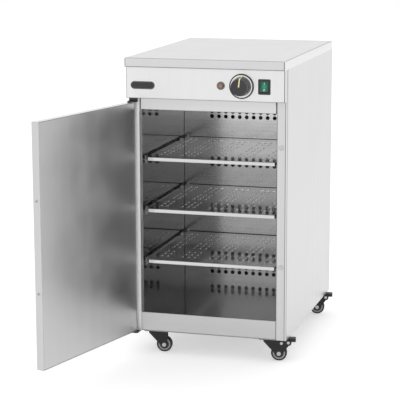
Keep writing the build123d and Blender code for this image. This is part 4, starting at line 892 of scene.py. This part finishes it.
def on_castor(corner, along, height):
    """A frame on a castor: X along its trail, Y along the axle, Z up."""
    pivot = Matrix.Translation((*CASTOR_PIVOTS[corner], 0)) @ Matrix.Rotation(CASTOR_TURN, 4, "Z")
    return pivot @ Matrix.Translation((along, 0, height))


def outward_at(corner, along, height):
    """Two frames there, whose Z axes point out of the fork's two sides."""
    axle = on_castor(corner, along, height)
    return [axle @ Matrix.Rotation(side * math.pi / 2, 4, "X") for side in (-1, 1)]


def add_top_plate(net, half, rounding, hole, low, high, centre, bevel=0.6, steps=48):
    """Adds a square plate with rounded corners and a round hole; sizes in mm, low to high along Z."""
    levels = ((0.0, high), (0.0, low + bevel), (bevel, low))
    straight = half - rounding
    loops = [[] for _ in range(len(levels) + 2)]
    for step in range(steps):
        turn = 2 * math.pi * (step + 0.5) / steps
        across, along = math.cos(turn), math.sin(turn)
        corner_x, corner_y = math.copysign(straight, across), math.copysign(straight, along)
        spots = [
            (corner_x + (rounding - inset) * across, corner_y + (rounding - inset) * along, height)
            for inset, height in levels
        ]
        spots += [(hole * across, hole * along, low), (hole * across, hole * along, high)]
        for loop, spot in zip(loops, spots):
            loop.append(spot)
    add_loops(net, loops, centre)


for corner in CORNERS:
    top, covers, flanges, washers, race = (bmesh.new() for _ in range(5))
    swivel = Matrix.Translation((*CASTOR_PIVOTS[corner], 0))
    add_top_plate(top, half=25.0, rounding=5.0, hole=19.5, low=-4.8, high=-0.1, centre=swivel)
    for outward in outward_at(corner, WHEEL_TRAIL, AXLE_Z):
        add_turned(covers, HUB_COVER, outward, closed=True)
        add_turned(flanges, RIM_FLANGE, outward, closed=True)
        add_turned(washers, AXLE_WASHER, outward, closed=True)
    add_turned(race, RACEWAY, on_castor(corner, 0, RACEWAY_Z), closed=True)
    piece("top_plate_" + corner, top, fork_paint, "cabinet")
    piece("hub_covers_" + corner, covers, cover_dark, "wheel_" + corner)
    piece("rim_flanges_" + corner, flanges, flange_grey, "wheel_" + corner)
    piece("axle_washers_" + corner, washers, fork_paint, "fork_" + corner)
    piece("raceway_ring_" + corner, race, zinc_plate, "fork_" + corner)
for corner in BRAKED:
    ribs, cups = bmesh.new(), bmesh.new()
    for along in PEDAL_RIBS:
        place = on_castor(corner, BRAKE_PIVOT + along * MM, PEDAL_TOP_Z)
        add_slab(ribs, PEDAL_RIB, -0.1, 0.3, 0.2, place)
    for outward in outward_at(corner, BRAKE_PIVOT, BRAKE_PIVOT_Z):
        add_turned(cups, PIVOT_CUP, outward, closed=True)
    piece("pedal_ribs_" + corner, ribs, pedal_paint, "brake_" + corner)
    piece("pivot_cups_" + corner, cups, fork_paint, "fork_" + corner)
